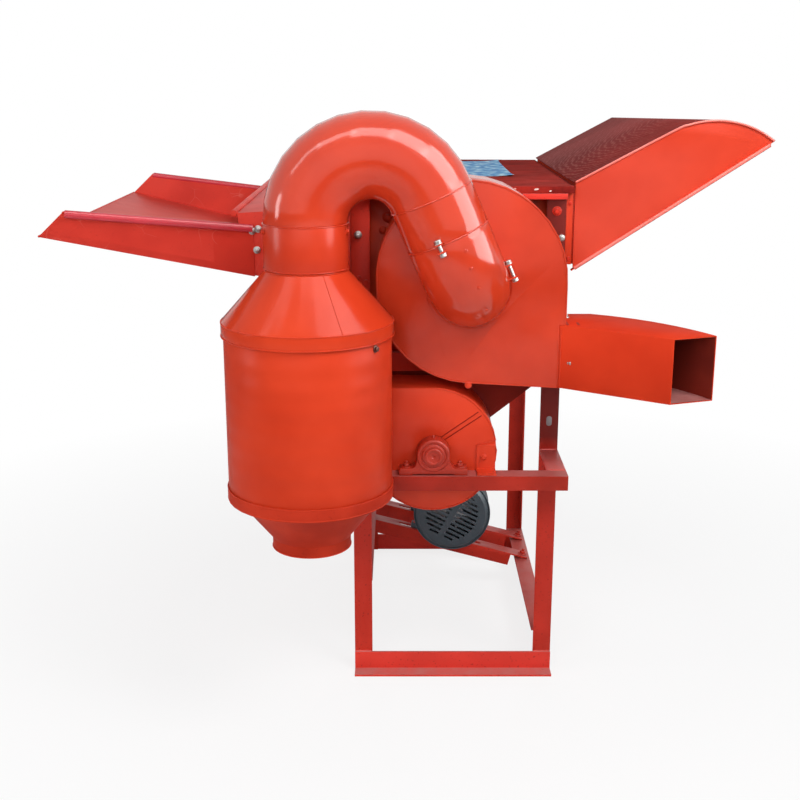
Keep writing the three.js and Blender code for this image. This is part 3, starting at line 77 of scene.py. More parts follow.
def linear(code):
    """The linear colour of an sRGB hex value."""
    channels = [int(code[i:i + 2], 16) / 255 for i in (0, 2, 4)]
    return [c / 12.92 if c <= 0.04045 else ((c + 0.055) / 1.055) ** 2.4 for c in channels] + [1]


def add(tree, kind, inputs=None, **settings):
    """A node with its settings, its inputs filled or linked."""
    node = tree.nodes.new(kind)
    for key, value in settings.items():
        setattr(node, key, value)
    for key, value in (inputs or {}).items():
        if isinstance(value, bpy.types.NodeSocket):
            tree.links.new(value, node.inputs[key])
        else:
            node.inputs[key].default_value = value
    return node


def soft_box(name, bearing, along, aim, distance, length, width, power, mirrored=False):
    """A lamp that faces the machine from a bearing, its long side turned along a direction.

    Distance, length and width are in metres, and power in watts.
    """
    data = bpy.data.lights.new(name, "AREA")
    data.shape = "RECTANGLE"
    data.size, data.size_y = length, width
    data.energy = power
    lamp = bpy.data.objects.new(name, data)
    bpy.context.scene.collection.objects.link(lamp)
    back = Vector(bearing).normalized()
    side = (Vector(along) - back * Vector(along).dot(back)).normalized()
    turn = Matrix((side, back.cross(side), back)).transposed()
    lamp.matrix_world = Matrix.Translation(aim + back * distance) @ turn.to_4x4()
    lamp.visible_glossy = mirrored
    lamp.visible_diffuse = not mirrored


middle = spot(-60, 200, 700)
duct_middle = spot(-170, -237, 1100)
# climb from the right in degrees, width, power
STRIPS = ((8, 2.0, 55), (35, 1.9, 60), (62, 1.5, 40), (89, 1.0, 22), (115, 0.5, 9), (140, 0.3, 5))
for number, (climb, width, power) in enumerate(STRIPS, 1):
    turn = math.radians(climb)
    bearing = (math.cos(turn), -0.1 - 0.3 * math.sin(turn), math.sin(turn))
    soft_box(f"gloss_strip_{number}", bearing, (-math.sin(turn), 0, math.cos(turn)), duct_middle,
             2.5, 1.2, width, power, mirrored=True)
soft_box("gloss_pane", (-0.98, -0.18, 0.02), (0, 1, 0), duct_middle, 2.5, 0.5, 0.9, 12, mirrored=True)
soft_box("key_box", (0.5, -0.6, 0.75), (1, 0, 0), middle, 2.6, 1.0, 1.0, 45)
soft_box("front_box", (-0.15, -1, 0.4), (1, 0, 0), middle, 3.2, 2.6, 1.6, 50)
soft_box("left_box", (-1, -0.3, 0.3), (0, 1, 0), middle, 3.0, 1.4, 1.6, 20)
soft_box("rear_box", (0.1, 1, 0.55), (1, 0, 0), middle, 3.2, 2.4, 1.6, 34)

# the backdrop is white to the camera and in mirrors, and lights the machine only dimly
world = bpy.data.worlds.new("studio")
world.use_nodes = True
bpy.context.scene.world = world
sky = world.node_tree
sky.nodes.clear()
ray = add(sky, "ShaderNodeLightPath")
straight = add(sky, "ShaderNodeMath",
               {0: ray.outputs["Is Camera Ray"], 1: ray.outputs["Is Transmission Ray"]},
               operation="MAXIMUM")
mirrored = add(sky, "ShaderNodeMath", {0: straight.outputs[0], 1: ray.outputs["Is Glossy Ray"]},
               operation="MAXIMUM")
dim = add(sky, "ShaderNodeBackground", {"Color": linear("f2f4f7"), "Strength": 0.18})
white = add(sky, "ShaderNodeBackground", {"Color": (1, 1, 1, 1), "Strength": 1.0})
mixed = add(sky, "ShaderNodeMixShader", {0: mirrored.outputs[0], 1: dim.outputs[0], 2: white.outputs[0]})
add(sky, "ShaderNodeOutputWorld", {"Surface": mixed.outputs[0]})

# The floor is matt white. Near the machine it keeps part of the shadow, and further off it
# fades into the backdrop, so no horizon shows.
floor_mesh = bpy.data.meshes.new("floor")
floor_corners = ((-20000, -9000), (20000, -9000), (20000, 30000), (-20000, 30000))
floor_mesh.from_pydata([spot(x, y, 0) for x, y in floor_corners], [], [(0, 1, 2, 3)])
floor = bpy.data.objects.new("floor", floor_mesh)
bpy.context.scene.collection.objects.link(floor)


def blank_material(name):
    material = bpy.data.materials.new(name)
    material.use_nodes = True
    material.node_tree.nodes.clear()
    return material, material.node_tree


matt_white, tree = blank_material("matt_white_floor")
place = add(tree, "ShaderNodeTexCoord").outputs["Object"]
reach = add(tree, "ShaderNodeVectorMath", {0: place, 1: spot(0, 300, 0)}, operation="DISTANCE")
fade = add(tree, "ShaderNodeMapRange",
           {"Value": reach.outputs["Value"], "From Min": 0.7, "From Max": 2.0, "To Min": 0.8, "To Max": 1.0})
ray = add(tree, "ShaderNodeLightPath")
share = add(tree, "ShaderNodeMath", {0: ray.outputs["Is Camera Ray"], 1: fade.outputs[0]},
            operation="MULTIPLY")
matt = add(tree, "ShaderNodeBsdfDiffuse", {"Color": linear("e6e6e6")})
glow = add(tree, "ShaderNodeEmission", {"Color": (1, 1, 1, 1), "Strength": 1.0})
blend = add(tree, "ShaderNodeMixShader", {0: share.outputs[0], 1: matt.outputs[0], 2: glow.outputs[0]})
add(tree, "ShaderNodeOutputMaterial", {"Surface": blend.outputs[0]})
floor_mesh.materials.append(matt_white)

# The frame: rolled angle iron 40 x 40 x 4, sawn and arc welded, then sprayed red together
# with the sheet parts. The coat is thinner here than on the sheet, over the mill skin.


def sprayed_enamel(name, full, lean, gloss, level=0.25, peel=1.0, sway=0.0, grime=0.0, specks=0.0,
                   rolls=0.0, dust=0.0, scratches=0.0):
    """Alkyd enamel from a spray gun: full and lean are the colours of a thick and a thin coat.

    gloss is the roughness where the coat is thickest, and level the strength of its shine.
    """
    material, tree = blank_material(name)
    place = add(tree, "ShaderNodeTexCoord").outputs["Object"]
    # passes of the gun a hand's width apart leave soft clouds of thick and thin coat
    clouds = add(tree, "ShaderNodeTexNoise", {"Vector": place, "Scale": 1000 / 140, "Detail": 3.0})
    thin = add(tree, "ShaderNodeMapRange",
               {"Value": clouds.outputs["Fac"], "From Min": 0.36, "From Max": 0.68})
    colour = add(tree, "ShaderNodeMix", {"Factor": thin.outputs[0], 6: linear(full), 7: linear(lean)},
                 data_type="RGBA").outputs[2]
    if grime:
        # dust rubbed into lines 5 mm apart, across the machine
        run = add(tree, "ShaderNodeMapping", {"Vector": place, "Scale": (1000 / 70, 1000 / 5, 1000 / 70)})
        lines = add(tree, "ShaderNodeTexNoise", {"Vector": run.outputs[0], "Scale": 1.0, "Detail": 4.0})
        line = add(tree, "ShaderNodeMapRange",
                   {"Value": lines.outputs["Fac"], "From Min": 0.47, "From Max": 0.66, "To Max": grime})
        colour = add(tree, "ShaderNodeMix", {"Factor": line.outputs[0], 6: colour, 7: linear("4a1416")},
                     data_type="RGBA").outputs[2]
    if specks:
        # pits of the mill skin, 5 mm apart, that the coat has not closed
        pits = add(tree, "ShaderNodeTexNoise", {"Vector": place, "Scale": 1000 / 5, "Detail": 2.0})
        speck = add(tree, "ShaderNodeMapRange",
                    {"Value": pits.outputs["Fac"], "From Min": 0.64, "From Max": 0.74, "To Max": specks})
        colour = add(tree, "ShaderNodeMix", {"Factor": speck.outputs[0], 6: colour, 7: linear("3a1314")},
                     data_type="RGBA").outputs[2]
    if scratches:
        # crop has drawn thin bent scratches, some 55 mm long, in patches
        bent = add(tree, "ShaderNodeTexNoise", {"Vector": place, "Scale": 1000 / 90, "Detail": 1.0})
        warp = add(tree, "ShaderNodeVectorMath", {0: bent.outputs["Color"], 1: (0.09, 0.09, 0.09), 2: place},
                   operation="MULTIPLY_ADD")
        cells = add(tree, "ShaderNodeTexVoronoi", {"Vector": warp.outputs[0], "Scale": 1000 / 55},
                    feature="DISTANCE_TO_EDGE")
        mark = add(tree, "ShaderNodeMapRange",
                   {"Value": cells.outputs["Distance"], "From Min": 0.002, "From Max": 0.012, "To Min": 1.0,
                    "To Max": 0.0})
        patch = add(tree, "ShaderNodeMapRange",
                    {"Value": bent.outputs["Fac"], "From Min": 0.5, "From Max": 0.6})
        deep = add(tree, "ShaderNodeMath", {0: mark.outputs[0], 1: patch.outputs[0]}, operation="MULTIPLY")
        shown = add(tree, "ShaderNodeMath", {0: deep.outputs[0], 1: scratches}, operation="MULTIPLY")
        colour = add(tree, "ShaderNodeMix", {"Factor": shown.outputs[0], 6: colour, 7: linear("e0847a")},
                     data_type="RGBA").outputs[2]
    if dust:
        # field dust settles on whatever faces up
        facing = add(tree, "ShaderNodeSeparateXYZ",
                     {0: add(tree, "ShaderNodeNewGeometry").outputs["Normal"]}).outputs["Z"]
        flat = add(tree, "ShaderNodeMapRange", {"Value": facing, "From Min": 0.75, "From Max": 0.97})
        settled = add(tree, "ShaderNodeTexNoise", {"Vector": place, "Scale": 1000 / 30, "Detail": 5.0})
        thick = add(tree, "ShaderNodeMapRange",
                    {"Value": settled.outputs["Fac"], "From Min": 0.3, "From Max": 0.7,
                     "To Min": 0.6 * dust, "To Max": dust})
        veil = add(tree, "ShaderNodeMath", {0: flat.outputs[0], 1: thick.outputs[0]}, operation="MULTIPLY")
        colour = add(tree, "ShaderNodeMix", {"Factor": veil.outputs[0], 6: colour, 7: linear("b07672")},
                     data_type="RGBA").outputs[2]
    # orange peel of a 3 mm grain, over the slow sway of sheet between its folds
    grain = add(tree, "ShaderNodeTexNoise", {"Vector": place, "Scale": 1000 / 3, "Detail": 1.0})
    slow = add(tree, "ShaderNodeTexNoise",
               {"Vector": place, "Scale": 1000 / 120, "Detail": 1.5, "Distortion": 0.3})
    fine = add(tree, "ShaderNodeMath", {0: grain.outputs["Fac"], 1: 0.0001 * peel}, operation="MULTIPLY")
    broad = add(tree, "ShaderNodeMath", {0: slow.outputs["Fac"], 1: 0.006 * sway}, operation="MULTIPLY")
    height = add(tree, "ShaderNodeMath", {0: fine.outputs[0], 1: broad.outputs[0]},
                 operation="ADD").outputs[0]
    if rolls:
        # the bending rolls leave flat bands 42 mm high round a drum of sheet
        tall = add(tree, "ShaderNodeSeparateXYZ", {0: place}).outputs["Z"]
        turn = add(tree, "ShaderNodeMath", {0: tall, 1: 2 * math.pi / 0.042}, operation="MULTIPLY")
        band = add(tree, "ShaderNodeMath", {0: turn.outputs[0]}, operation="SINE")
        ridge = add(tree, "ShaderNodeMath", {0: band.outputs[0], 1: 0.0005 * rolls}, operation="MULTIPLY")
        height = add(tree, "ShaderNodeMath", {0: height, 1: ridge.outputs[0]}, operation="ADD").outputs[0]
    bump = add(tree, "ShaderNodeBump", {"Height": height, "Strength": 0.75, "Distance": 1.0})
    shine = add(tree, "ShaderNodeMapRange",
                {"Value": clouds.outputs["Fac"], "To Min": gloss, "To Max": gloss + 0.1})
    coat = add(tree, "ShaderNodeBsdfPrincipled",
               {"Base Color": colour, "Roughness": shine.outputs[0], "IOR": 1.5, "Specular IOR Level": level,
                "Normal": bump.outputs[0]})
    add(tree, "ShaderNodeOutputMaterial", {"Surface": coat.outputs[0]})
    return material


EDGE_ANGLE = math.radians(35)


def rounded_look():
    """Smooth shading on faces that meet at under 35 degrees, as a modifier."""
    group = bpy.data.node_groups.new("rounded_look", "GeometryNodeTree")
    group.interface.new_socket("Geometry", in_out="INPUT", socket_type="NodeSocketGeometry")
    group.interface.new_socket("Geometry", in_out="OUTPUT", socket_type="NodeSocketGeometry")
    came = add(group, "NodeGroupInput")
    angle = add(group, "GeometryNodeInputMeshEdgeAngle")
    low = add(group, "FunctionNodeCompare", {0: angle.outputs[0], 1: EDGE_ANGLE}, operation="LESS_EQUAL")
    faces = add(group, "GeometryNodeSetShadeSmooth", {"Geometry": came.outputs[0], "Shade Smooth": True})
    edges = add(group, "GeometryNodeSetShadeSmooth",
                {"Geometry": faces.outputs[0], "Shade Smooth": low.outputs[0]}, domain="EDGE")
    add(group, "NodeGroupOutput", {0: edges.outputs[0]})
    return group


ROUNDED = rounded_look()


def round_edges(piece, width):
    """Joins a piece's faces and rounds its sharp edges, by a width in millimetres."""
    weld = piece.modifiers.new("weld", "WELD")
    weld.merge_threshold = 0.00002
    if width:
        bevel = piece.modifiers.new("bevel", "BEVEL")
        bevel.width = width / 1000
        bevel.segments = 2
        bevel.limit_method = "ANGLE"
        bevel.angle_limit = EDGE_ANGLE
    look = piece.modifiers.new("rounded_look", "NODES")
    look.node_group = ROUNDED


def dress(material, width, *names):
    """Gives machine parts their finish, and their edges the round of a broken corner."""
    for name in names:
        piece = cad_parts[name]
        piece.data.materials.clear()
        piece.data.materials.append(material)
        round_edges(piece, width)


# a thin coat over mill skin: satin, with pits, and dusty where it faces up
frame_enamel = sprayed_enamel("sprayed_frame_enamel", "c93323", "b4291a", 0.36, level=0.18, peel=2.2,
                              specks=0.5, dust=0.5)
# the beams near the ground carry the most dust, which turns them pink
beam_enamel = sprayed_enamel("dusty_beam_enamel", "d63a2e", "c33228", 0.38, level=0.18, peel=2.4,
                             specks=0.6, dust=0.75)
# painted darker and browner than the frame: painted shade on the rail's front face
shaded_rail_enamel = sprayed_enamel("rail_enamel_painted_shade", "ab2c1e", "8e2216", 0.36, level=0.15, peel=2.2,
                             specks=0.3, dust=0.45)
dress(frame_enamel, 0.9, "frame_post_front_left", "frame_post_rear_left", "frame_post_rear_right",
      "side_rail_left", "side_rail_right", "top_rail_left", "top_rail_right", "bearing_rail_rear",
      "fan_rail", "motor_rail_front", "motor_rail_rear")
dress(shaded_rail_enamel, 0.9, "blower_rail")
dress(beam_enamel, 0.9, "base_beam_front", "base_beam_rear", "top_rail_front", "top_rail_rear",
      "blower_rail_arm")

# Front right post: the same angle iron. Above the rail its coat is painted dark brown-red, as a painted
# shadow where the fan's outlet shades the post.


def lay_over(material, code, pattern):
    """Lays one more colour over an enamel, as far as a pattern of places lets it show."""
    tree = material.node_tree
    coat = next(node for node in tree.nodes if node.type == "BSDF_PRINCIPLED")
    place = next(node for node in tree.nodes if node.type == "TEX_COORD").outputs["Object"]
    under = coat.inputs["Base Color"].links[0].from_socket
    over = add(tree, "ShaderNodeMix", {"Factor": pattern(tree, place), 6: under, 7: linear(code)},
               data_type="RGBA")
    tree.links.new(over.outputs[2], coat.inputs["Base Color"])


def shadow_above_rail(tree, place):
    """Where the painted shadow lies: nothing up to 520 mm from the floor, and the most from 560 mm on."""
    tall = add(tree, "ShaderNodeSeparateXYZ", {0: place}).outputs["Z"]
    return add(tree, "ShaderNodeMapRange",
               {"Value": tall, "From Min": 0.52, "From Max": 0.56, "To Max": 0.85}).outputs[0]


shadowed_post_enamel = sprayed_enamel("post_enamel_painted_shadow", "bb2e20", "a42618", 0.36, level=0.18, peel=2.2,
                             specks=0.5)
# dark brown-red laid over the post above the rail: painted shadow
lay_over(shadowed_post_enamel, "5a1c18", shadow_above_rail)
dress(shadowed_post_enamel, 0.9, "frame_post_front_right")

# Weld beads of the frame: runs of arc weld where the posts stand on the base beams and where
# the blower's rail and arm meet the right post. Each is a row of frozen ripples, painted over.


def make(name, forms, material, body="machine", width=0.0):
    """One piece of the machine from several forms, in millimetres, riding on a body."""
    verts, faces = [], []
    for form_verts, form_faces in forms:
        start = len(verts)
        verts += [spot(*v) for v in form_verts]
        faces += [tuple(i + start for i in face) for face in form_faces]
    mesh = bpy.data.meshes.new(name)
    mesh.from_pydata(verts, [], faces)
    mesh.validate()
    mesh.materials.append(material)
    piece = bpy.data.objects.new(name, mesh)
    bpy.context.scene.collection.objects.link(piece)
    round_edges(piece, width)
    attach(piece, body)
    return piece


def square_to(axis):
    """A direction of length one, and two more that are square to it and to each other."""
    axis = Vector(axis).normalized()
    side = axis.orthogonal().normalized()
    return axis, side, axis.cross(side)


def circle(centre, side, other, radius, count, twist=0.0):
    """Points round a centre, on the plane of two directions."""
    angles = [twist + 2 * math.pi * i / count for i in range(count)]
    return [centre + (side * math.cos(angle) + other * math.sin(angle)) * radius for angle in angles]


def skin(rings, sides, closed=False, capped=False):
    """Faces between one ring of points and the next, and over both ends if it is capped."""
    faces = []
    for i in range(rings if closed else rings - 1):
        j = (i + 1) % rings
        for k in range(sides):
            m = (k + 1) % sides
            faces.append((i * sides + k, i * sides + m, j * sides + m, j * sides + k))
    if capped:
        faces.append(tuple(reversed(range(sides))))
        faces.append(tuple(range((rings - 1) * sides, rings * sides)))
    return faces


def weld_bead(start, end, radius, seed):
    """A run of arc weld: a row of frozen ripples, thinner at both ends."""
    start, end = Vector(start), Vector(end)
    side, other = square_to(end - start)[1:]
    count = max(6, int((end - start).length / 2.2))
    verts = []
    for i in range(count + 1):
        share = i / count
        swell = radius * (0.75 + 0.35 * noise.noise(Vector((i * 0.9, seed, 0))) + (0.2 if i % 2 else 0))
        swell *= min(1, 5 * share + 0.3, 5 * (1 - share) + 0.3)
        verts += circle(start.lerp(end, share), side, other, swell, 8)
    return verts, skin(count + 1, 8)


BEAM_TOP = 45
RAIL_UNDER, ARM_TOP = 500, 530
ARM_FRONT = -139.8
# the leg of the angle iron, and how far the beads lie in front of it
ANGLE_LEG, PROUD = 40, 0.6
half = FRAME_WIDTH / 2
beads = []
for side in (-1, 1):
    outer, inner = side * half, side * (half - ANGLE_LEG)
    rear = FRAME_DEPTH + PROUD
    beads.append(weld_bead((outer, -PROUD, BEAM_TOP), (inner, -PROUD, BEAM_TOP), 2.6, side * 3.1))
    beads.append(weld_bead((outer, rear, BEAM_TOP), (inner, rear, BEAM_TOP), 2.6, side * 5.3))
beads.append(weld_bead((half, -0.5, RAIL_UNDER), (half, -0.5, ARM_TOP - 1), 2.4, 1.7))
beads.append(weld_bead((half - ANGLE_LEG, -0.5, ARM_TOP), (half, -0.5, ARM_TOP), 2.4, 6.2))
beads.append(weld_bead((half - ANGLE_LEG, ARM_FRONT, ARM_TOP), (half - 1, ARM_FRONT, ARM_TOP), 1.8, 2.9))
# the beads are glossy, and painted paler than the frame as a painted highlight on their crests
bead_highlight_enamel = sprayed_enamel("pale_bead_painted_highlight", "d8605a", "c04a40", 0.2, level=0.5, peel=3.0)
make("frame_weld_beads", beads, bead_highlight_enamel)

# Frame bolts: hexagon bolts and nuts of zinc plated steel hold the walls to the posts. Some
# were sprayed over with the frame, and a plain grey plug closes a slot in the right post.


def bare_metal(name, colour, roughness, grain_mm, depth):
    """Metal with the marks of how it was made, from turning lines to casting skin."""
    material, tree = blank_material(name)
    place = add(tree, "ShaderNodeTexCoord").outputs["Object"]
    marks = add(tree, "ShaderNodeTexNoise", {"Vector": place, "Scale": 1000 / grain_mm, "Detail": 3.0})
    shine = add(tree, "ShaderNodeMapRange",
                {"Value": marks.outputs["Fac"], "To Min": roughness - 0.08, "To Max": roughness + 0.12})
    bump = add(tree, "ShaderNodeBump", {"Height": marks.outputs["Fac"], "Strength": 0.4, "Distance": depth})
    metal = add(tree, "ShaderNodeBsdfPrincipled",
                {"Base Color": linear(colour), "Metallic": 1.0, "Roughness": shine.outputs[0],
                 "Normal": bump.outputs[0]})
    add(tree, "ShaderNodeOutputMaterial", {"Surface": metal.outputs[0]})
    return material


def turned(profile, origin, axis, steps, twist=0.0):
    """A closed turned form: a profile of (radius, height) points about an axis."""
    axis, side, other = square_to(axis)
    verts = []
    for radius, height in profile:
        verts += circle(Vector(origin) + axis * height, side, other, radius, steps, twist)
    return verts, skin(len(profile), steps, capped=True)


def hex_bolt(place, axis, across, washer=0, stud=0):
    """A hexagon head with its chamfer, on a washer, with the stud's end if it is a nut."""
    radius = across / math.sqrt(3)
    lift = 1.5 if washer else 0
    head = [(radius, lift), (radius, lift + across * 0.42), (radius * 0.86, lift + across * 0.5)]
    forms = [turned(head, place, axis, 6, 0.3)]
    if washer:
        forms.append(turned([(washer / 2, 0), (washer / 2, 1.2), (washer / 2 - 0.6, 1.6)], place, axis, 32))
    if stud:
        top = lift + across * 0.5
        end = [(across * 0.3, top), (across * 0.3, top + stud - 1), (across * 0.22, top + stud)]
        forms.append(turned(end, place, axis, 20))
    return forms


# zinc plate is pale and a little milky, so each bolt shows as a light spot
zinc_plate = bare_metal("zinc_plated_steel", "b4b3b0", 0.34, 2, 0.00004)
front = (0, -1, 0)
make("left_post_stud", hex_bolt((-207.9, 0, 998.6), front, 12, washer=17, stud=5), zinc_plate,
     width=0.4)
make("post_bolts_painted", hex_bolt((-206.6, 0, 908.3), front, 10) + hex_bolt((-192, 0, 899.8), front, 10),
     frame_enamel, width=0.4)
make("right_post_bolt_painted", hex_bolt((204.4, 0, 1048.3), front, 11, washer=20), frame_enamel,
     width=0.4)
make("right_post_bolt", hex_bolt((216, 0, 992.4), front, 9, washer=14), zinc_plate,
     width=0.4)


def prism(outline, y0, y1):
    """A plate of an upright outline between two depths."""
    count = len(outline)
    verts = [(x, y0, z) for x, z in outline] + [(x, y1, z) for x, z in outline]
    return verts, skin(2, count, capped=True)


SLOT_X, SLOT_Z = 203, 595
SLOT_ROUND, SLOT_STRAIGHT = 6, 10
slot_line = []
for i in range(32):
    angle = math.pi * i / 16
    lift = SLOT_STRAIGHT / 2 if i < 16 else -SLOT_STRAIGHT / 2
    slot_line.append((SLOT_X + SLOT_ROUND * math.cos(angle), SLOT_Z + SLOT_ROUND * math.sin(angle) + lift))
# stamped steel gone dull grey
plug_steel = bare_metal("grey_plug_steel", "8d898a", 0.5, 3, 0.0001)
make("post_slot_plug", [prism(slot_line, -0.9, 0.2)], plug_steel, width=0.4)

# Motor rail bolts: the motor slides for belt tension on two slotted rails, which lean 15
# degrees and are bolted to the side rails through their ends.
MOTOR_X, MOTOR_Z, MOTOR_LEAN = 11.5, 243, math.radians(15)
rail_up = (math.sin(MOTOR_LEAN), 0, math.cos(MOTOR_LEAN))


def on_motor(along, y, up):
    """A place beside the leaning motor, from its shaft."""
    return (MOTOR_X + along * math.cos(MOTOR_LEAN) + up * math.sin(MOTOR_LEAN), y,
            MOTOR_Z - along * math.sin(MOTOR_LEAN) + up * math.cos(MOTOR_LEAN))


# from the motor's shaft, square to the rails
RAIL_TOP, FOOT_TOP = -100, -88
bolts = []
for y in (470, 600):
    for along in (-197, 227):
        bolts += hex_bolt(on_motor(along, y, RAIL_TOP), rail_up, 13, washer=22, stud=6)
    for along in (-66, 66):
        bolts += hex_bolt(on_motor(along, y, FOOT_TOP), rail_up, 13, washer=22, stud=6)
make("motor_rail_bolts", bolts, frame_enamel, width=0.4)

# Body walls and grain hopper: 2 mm cold rolled sheet, folded, spot welded and sprayed. The
# full coat outside is orange-red and half glossy, and sways with the sheet between its folds.
# Under the body and inside, the coat is lean and rough, and is painted dark as painted shade.
body_enamel = sprayed_enamel("sprayed_sheet_enamel", "cd3d22", "bf341b", 0.26, level=0.2, sway=0.6)
shade_dark_enamel = sprayed_enamel("lean_enamel_painted_shade", "8a2014", "6c170f", 0.45, level=0.1, peel=2.0,
                             specks=0.35)
dress(body_enamel, 0.5, "body_front_wall", "body_rear_wall", "body_side_left", "body_side_right")
# the dark coat on the hopper, vortex finder and concave is painted shade
dress(shade_dark_enamel, 0.5, "grain_hopper", "vortex_finder", "concave")
make("wall_bolts_painted", hex_bolt((-145.8, 40.3, 1031.2), front, 13, washer=24)
     + hex_bolt((-156.4, 40.3, 1003.8), front, 10, washer=18), body_enamel, width=0.4)

# Lid over the drum: one sheet with folded and hemmed edges, on a knuckle hinge at the rear.
# Dust wiped to and fro has left lines across it, and its coat is duller and darker than the sides'.
lid_enamel = sprayed_enamel("dusty_lid_enamel", "a02c24", "84241d", 0.6, level=0.0, peel=1.6, sway=0.3,
                            grime=0.75, specks=0.4, dust=0.12)
dress(lid_enamel, 0.9, "lid")

# Chips: knocks on the lid's front edge have broken the coat down to its primer. Each is an
# uneven six-sided spot, chalky and almost white.
primer, tree = blank_material("pale_primer")
place = add(tree, "ShaderNodeTexCoord").outputs["Object"]
chalk = add(tree, "ShaderNodeTexNoise", {"Vector": place, "Scale": 1000 / 2, "Detail": 2.0})
shade = add(tree, "ShaderNodeMix",
            {"Factor": chalk.outputs["Fac"], 6: linear("f0e4dc"), 7: linear("c9aaa2")}, data_type="RGBA")
matt = add(tree, "ShaderNodeMapRange", {"Value": chalk.outputs["Fac"], "To Min": 0.55, "To Max": 0.75})
chip = add(tree, "ShaderNodeBsdfPrincipled",
           {"Base Color": shade.outputs[2], "Roughness": matt.outputs[0], "IOR": 1.5})
add(tree, "ShaderNodeOutputMaterial", {"Surface": chip.outputs[0]})
LID_FRONT = -20.3
chips = []
for x, z, length, height in ((106, 1093.5, 5, 2.2), (113, 1095.5, 4, 1.8), (158, 1094.5, 6, 2.0),
                             (187, 1091, 3, 1.4)):
    edge = []
    for corner in range(6):
        angle = math.radians(60 * corner)
        reach = length * (0.75 if corner % 2 else 1)
        edge.append((x + reach * math.cos(angle), z + height * math.sin(angle + 0.3)))
    chips.append(prism(edge, LID_FRONT - 0.4, LID_FRONT + 0.1))
make("lid_edge_chips", chips, primer, body="lid")

# Card on the lid: a plain printed card stuck down on the sheet, mottled in blues with a green
# corner and dulled by handling. Its corners have begun to lift.
CARD_LEFT, CARD_RIGHT, CARD_FRONT, CARD_REAR = -150, 134, 216, 667
LID_TOP = 1100.3
card_print, tree = blank_material("matt_printed_card")
place = add(tree, "ShaderNodeTexCoord").outputs["Object"]
corner = spot(CARD_LEFT, CARD_REAR, LID_TOP)
across = add(tree, "ShaderNodeVectorMath", {0: place, 1: corner}, operation="SUBTRACT")
slant = add(tree, "ShaderNodeVectorMath", {0: across.outputs[0], 1: (-2.4, -1.6, 0)},
            operation="DOT_PRODUCT")
# blots of ink some 22 mm apart
mottled = add(tree, "ShaderNodeTexNoise", {"Vector": place, "Scale": 1000 / 22, "Detail": 3.0})
blots = add(tree, "ShaderNodeValToRGB", {"Fac": mottled.outputs["Fac"]})
ramp = blots.color_ramp
ramp.elements[0].position, ramp.elements[0].color = 0.36, linear("1f5a96")
ramp.elements[1].position, ramp.elements[1].color = 0.66, linear("a9c2c8")
ramp.elements.new(0.5).color = linear("4a8ab4")
green_corner = add(tree, "ShaderNodeMapRange",
                   {"Value": slant.outputs["Value"], "From Min": 0.3, "From Max": 0.52})
printed = add(tree, "ShaderNodeMix", {"Factor": green_corner.outputs[0], 6: blots.outputs["Color"],
                                      7: linear("4f7f3c")}, data_type="RGBA")
# paper fibre 1 mm apart takes the shine off in spots
fibre = add(tree, "ShaderNodeTexNoise", {"Vector": place, "Scale": 1000 / 1, "Detail": 2.0})
matt = add(tree, "ShaderNodeMapRange", {"Value": fibre.outputs["Fac"], "To Min": 0.45, "To Max": 0.7})
tooth = add(tree, "ShaderNodeBump", {"Height": fibre.outputs["Fac"], "Strength": 0.2, "Distance": 0.0001})
paper = add(tree, "ShaderNodeBsdfPrincipled",
            {"Base Color": printed.outputs[2], "Roughness": matt.outputs[0], "IOR": 1.46,
             "Specular IOR Level": 0.1, "Normal": tooth.outputs[0]})
add(tree, "ShaderNodeOutputMaterial", {"Surface": paper.outputs[0]})


def lifted_card(columns=16, rows=20, thick=0.5):
    """A thin card whose corners curl up by a few millimetres."""
    wide, deep = CARD_RIGHT - CARD_LEFT, CARD_REAR - CARD_FRONT
    verts = []
    for level in (0, thick):
        for j in range(rows + 1):
            for i in range(columns + 1):
                u, v = i / columns, j / rows
                corner = (abs(2 * u - 1) * abs(2 * v - 1)) ** 6
                verts.append((CARD_LEFT + u * wide, CARD_FRONT + v * deep,
                              LID_TOP + 0.2 + level + 4 * corner))
    faces = []
    layer = (columns + 1) * (rows + 1)
    for j in range(rows):
        for i in range(columns):
            a = j * (columns + 1) + i
            quad = (a, a + 1, a + columns + 2, a + columns + 1)
            faces.append(tuple(reversed(quad)))
            faces.append(tuple(k + layer for k in quad))
    rim = [i for i in range(columns)] + [j * (columns + 1) + columns for j in range(rows)]
    rim += [layer - 1 - i for i in range(columns)] + [(rows - j) * (columns + 1) for j in range(rows)]
    for k, a in enumerate(rim):
        b = rim[(k + 1) % len(rim)]
        faces.append((a, b, b + layer, a + layer))
    return verts, faces


make("lid_card", [lifted_card()], card_print, body="lid")

# Feed throat and tray: folded from sheet and bolted together. The long edges of the tray are
# rolled over a wire, and crop has left thin curved scratches in it.
tray_enamel = sprayed_enamel("scuffed_tray_enamel", "d0382a", "bd2e22", 0.42, level=0.15, sway=0.6,
                             specks=0.15, scratches=0.32, dust=0.1)
dress(tray_enamel, 0.7, "feed_tray", "feed_throat", "throat_edge_bar")


def swept(points, radius, sides, closed=False, ripple=0.0):
    """A round wire or bead along a line of points, with a welder's ripple if asked."""
    count = len(points)
    points = [Vector(p) for p in points]
    verts = []
    side = None
    for i, point in enumerate(points):
        if closed:
            along = (points[(i + 1) % count] - points[i - 1]).normalized()
        else:
            along = (points[min(i + 1, count - 1)] - points[max(i - 1, 0)]).normalized()
        if side is None:
            side = along.orthogonal().normalized()
        side = (side - along * side.dot(along)).normalized()
        size = radius * (1 + ripple * noise.noise(Vector((i * 1.3, radius, 0))))
        verts += circle(point, side, along.cross(side), size, sides)
    return verts, skin(count, sides, closed=closed, capped=not closed)


rolls = [swept([(-424, -25.5, 1015.5), (-789, -93.5, 1052.5)], 8.2, 24),
         swept([(-424, 735.5, 1015.5), (-789, 803.5, 1052.5)], 8.2, 24)]
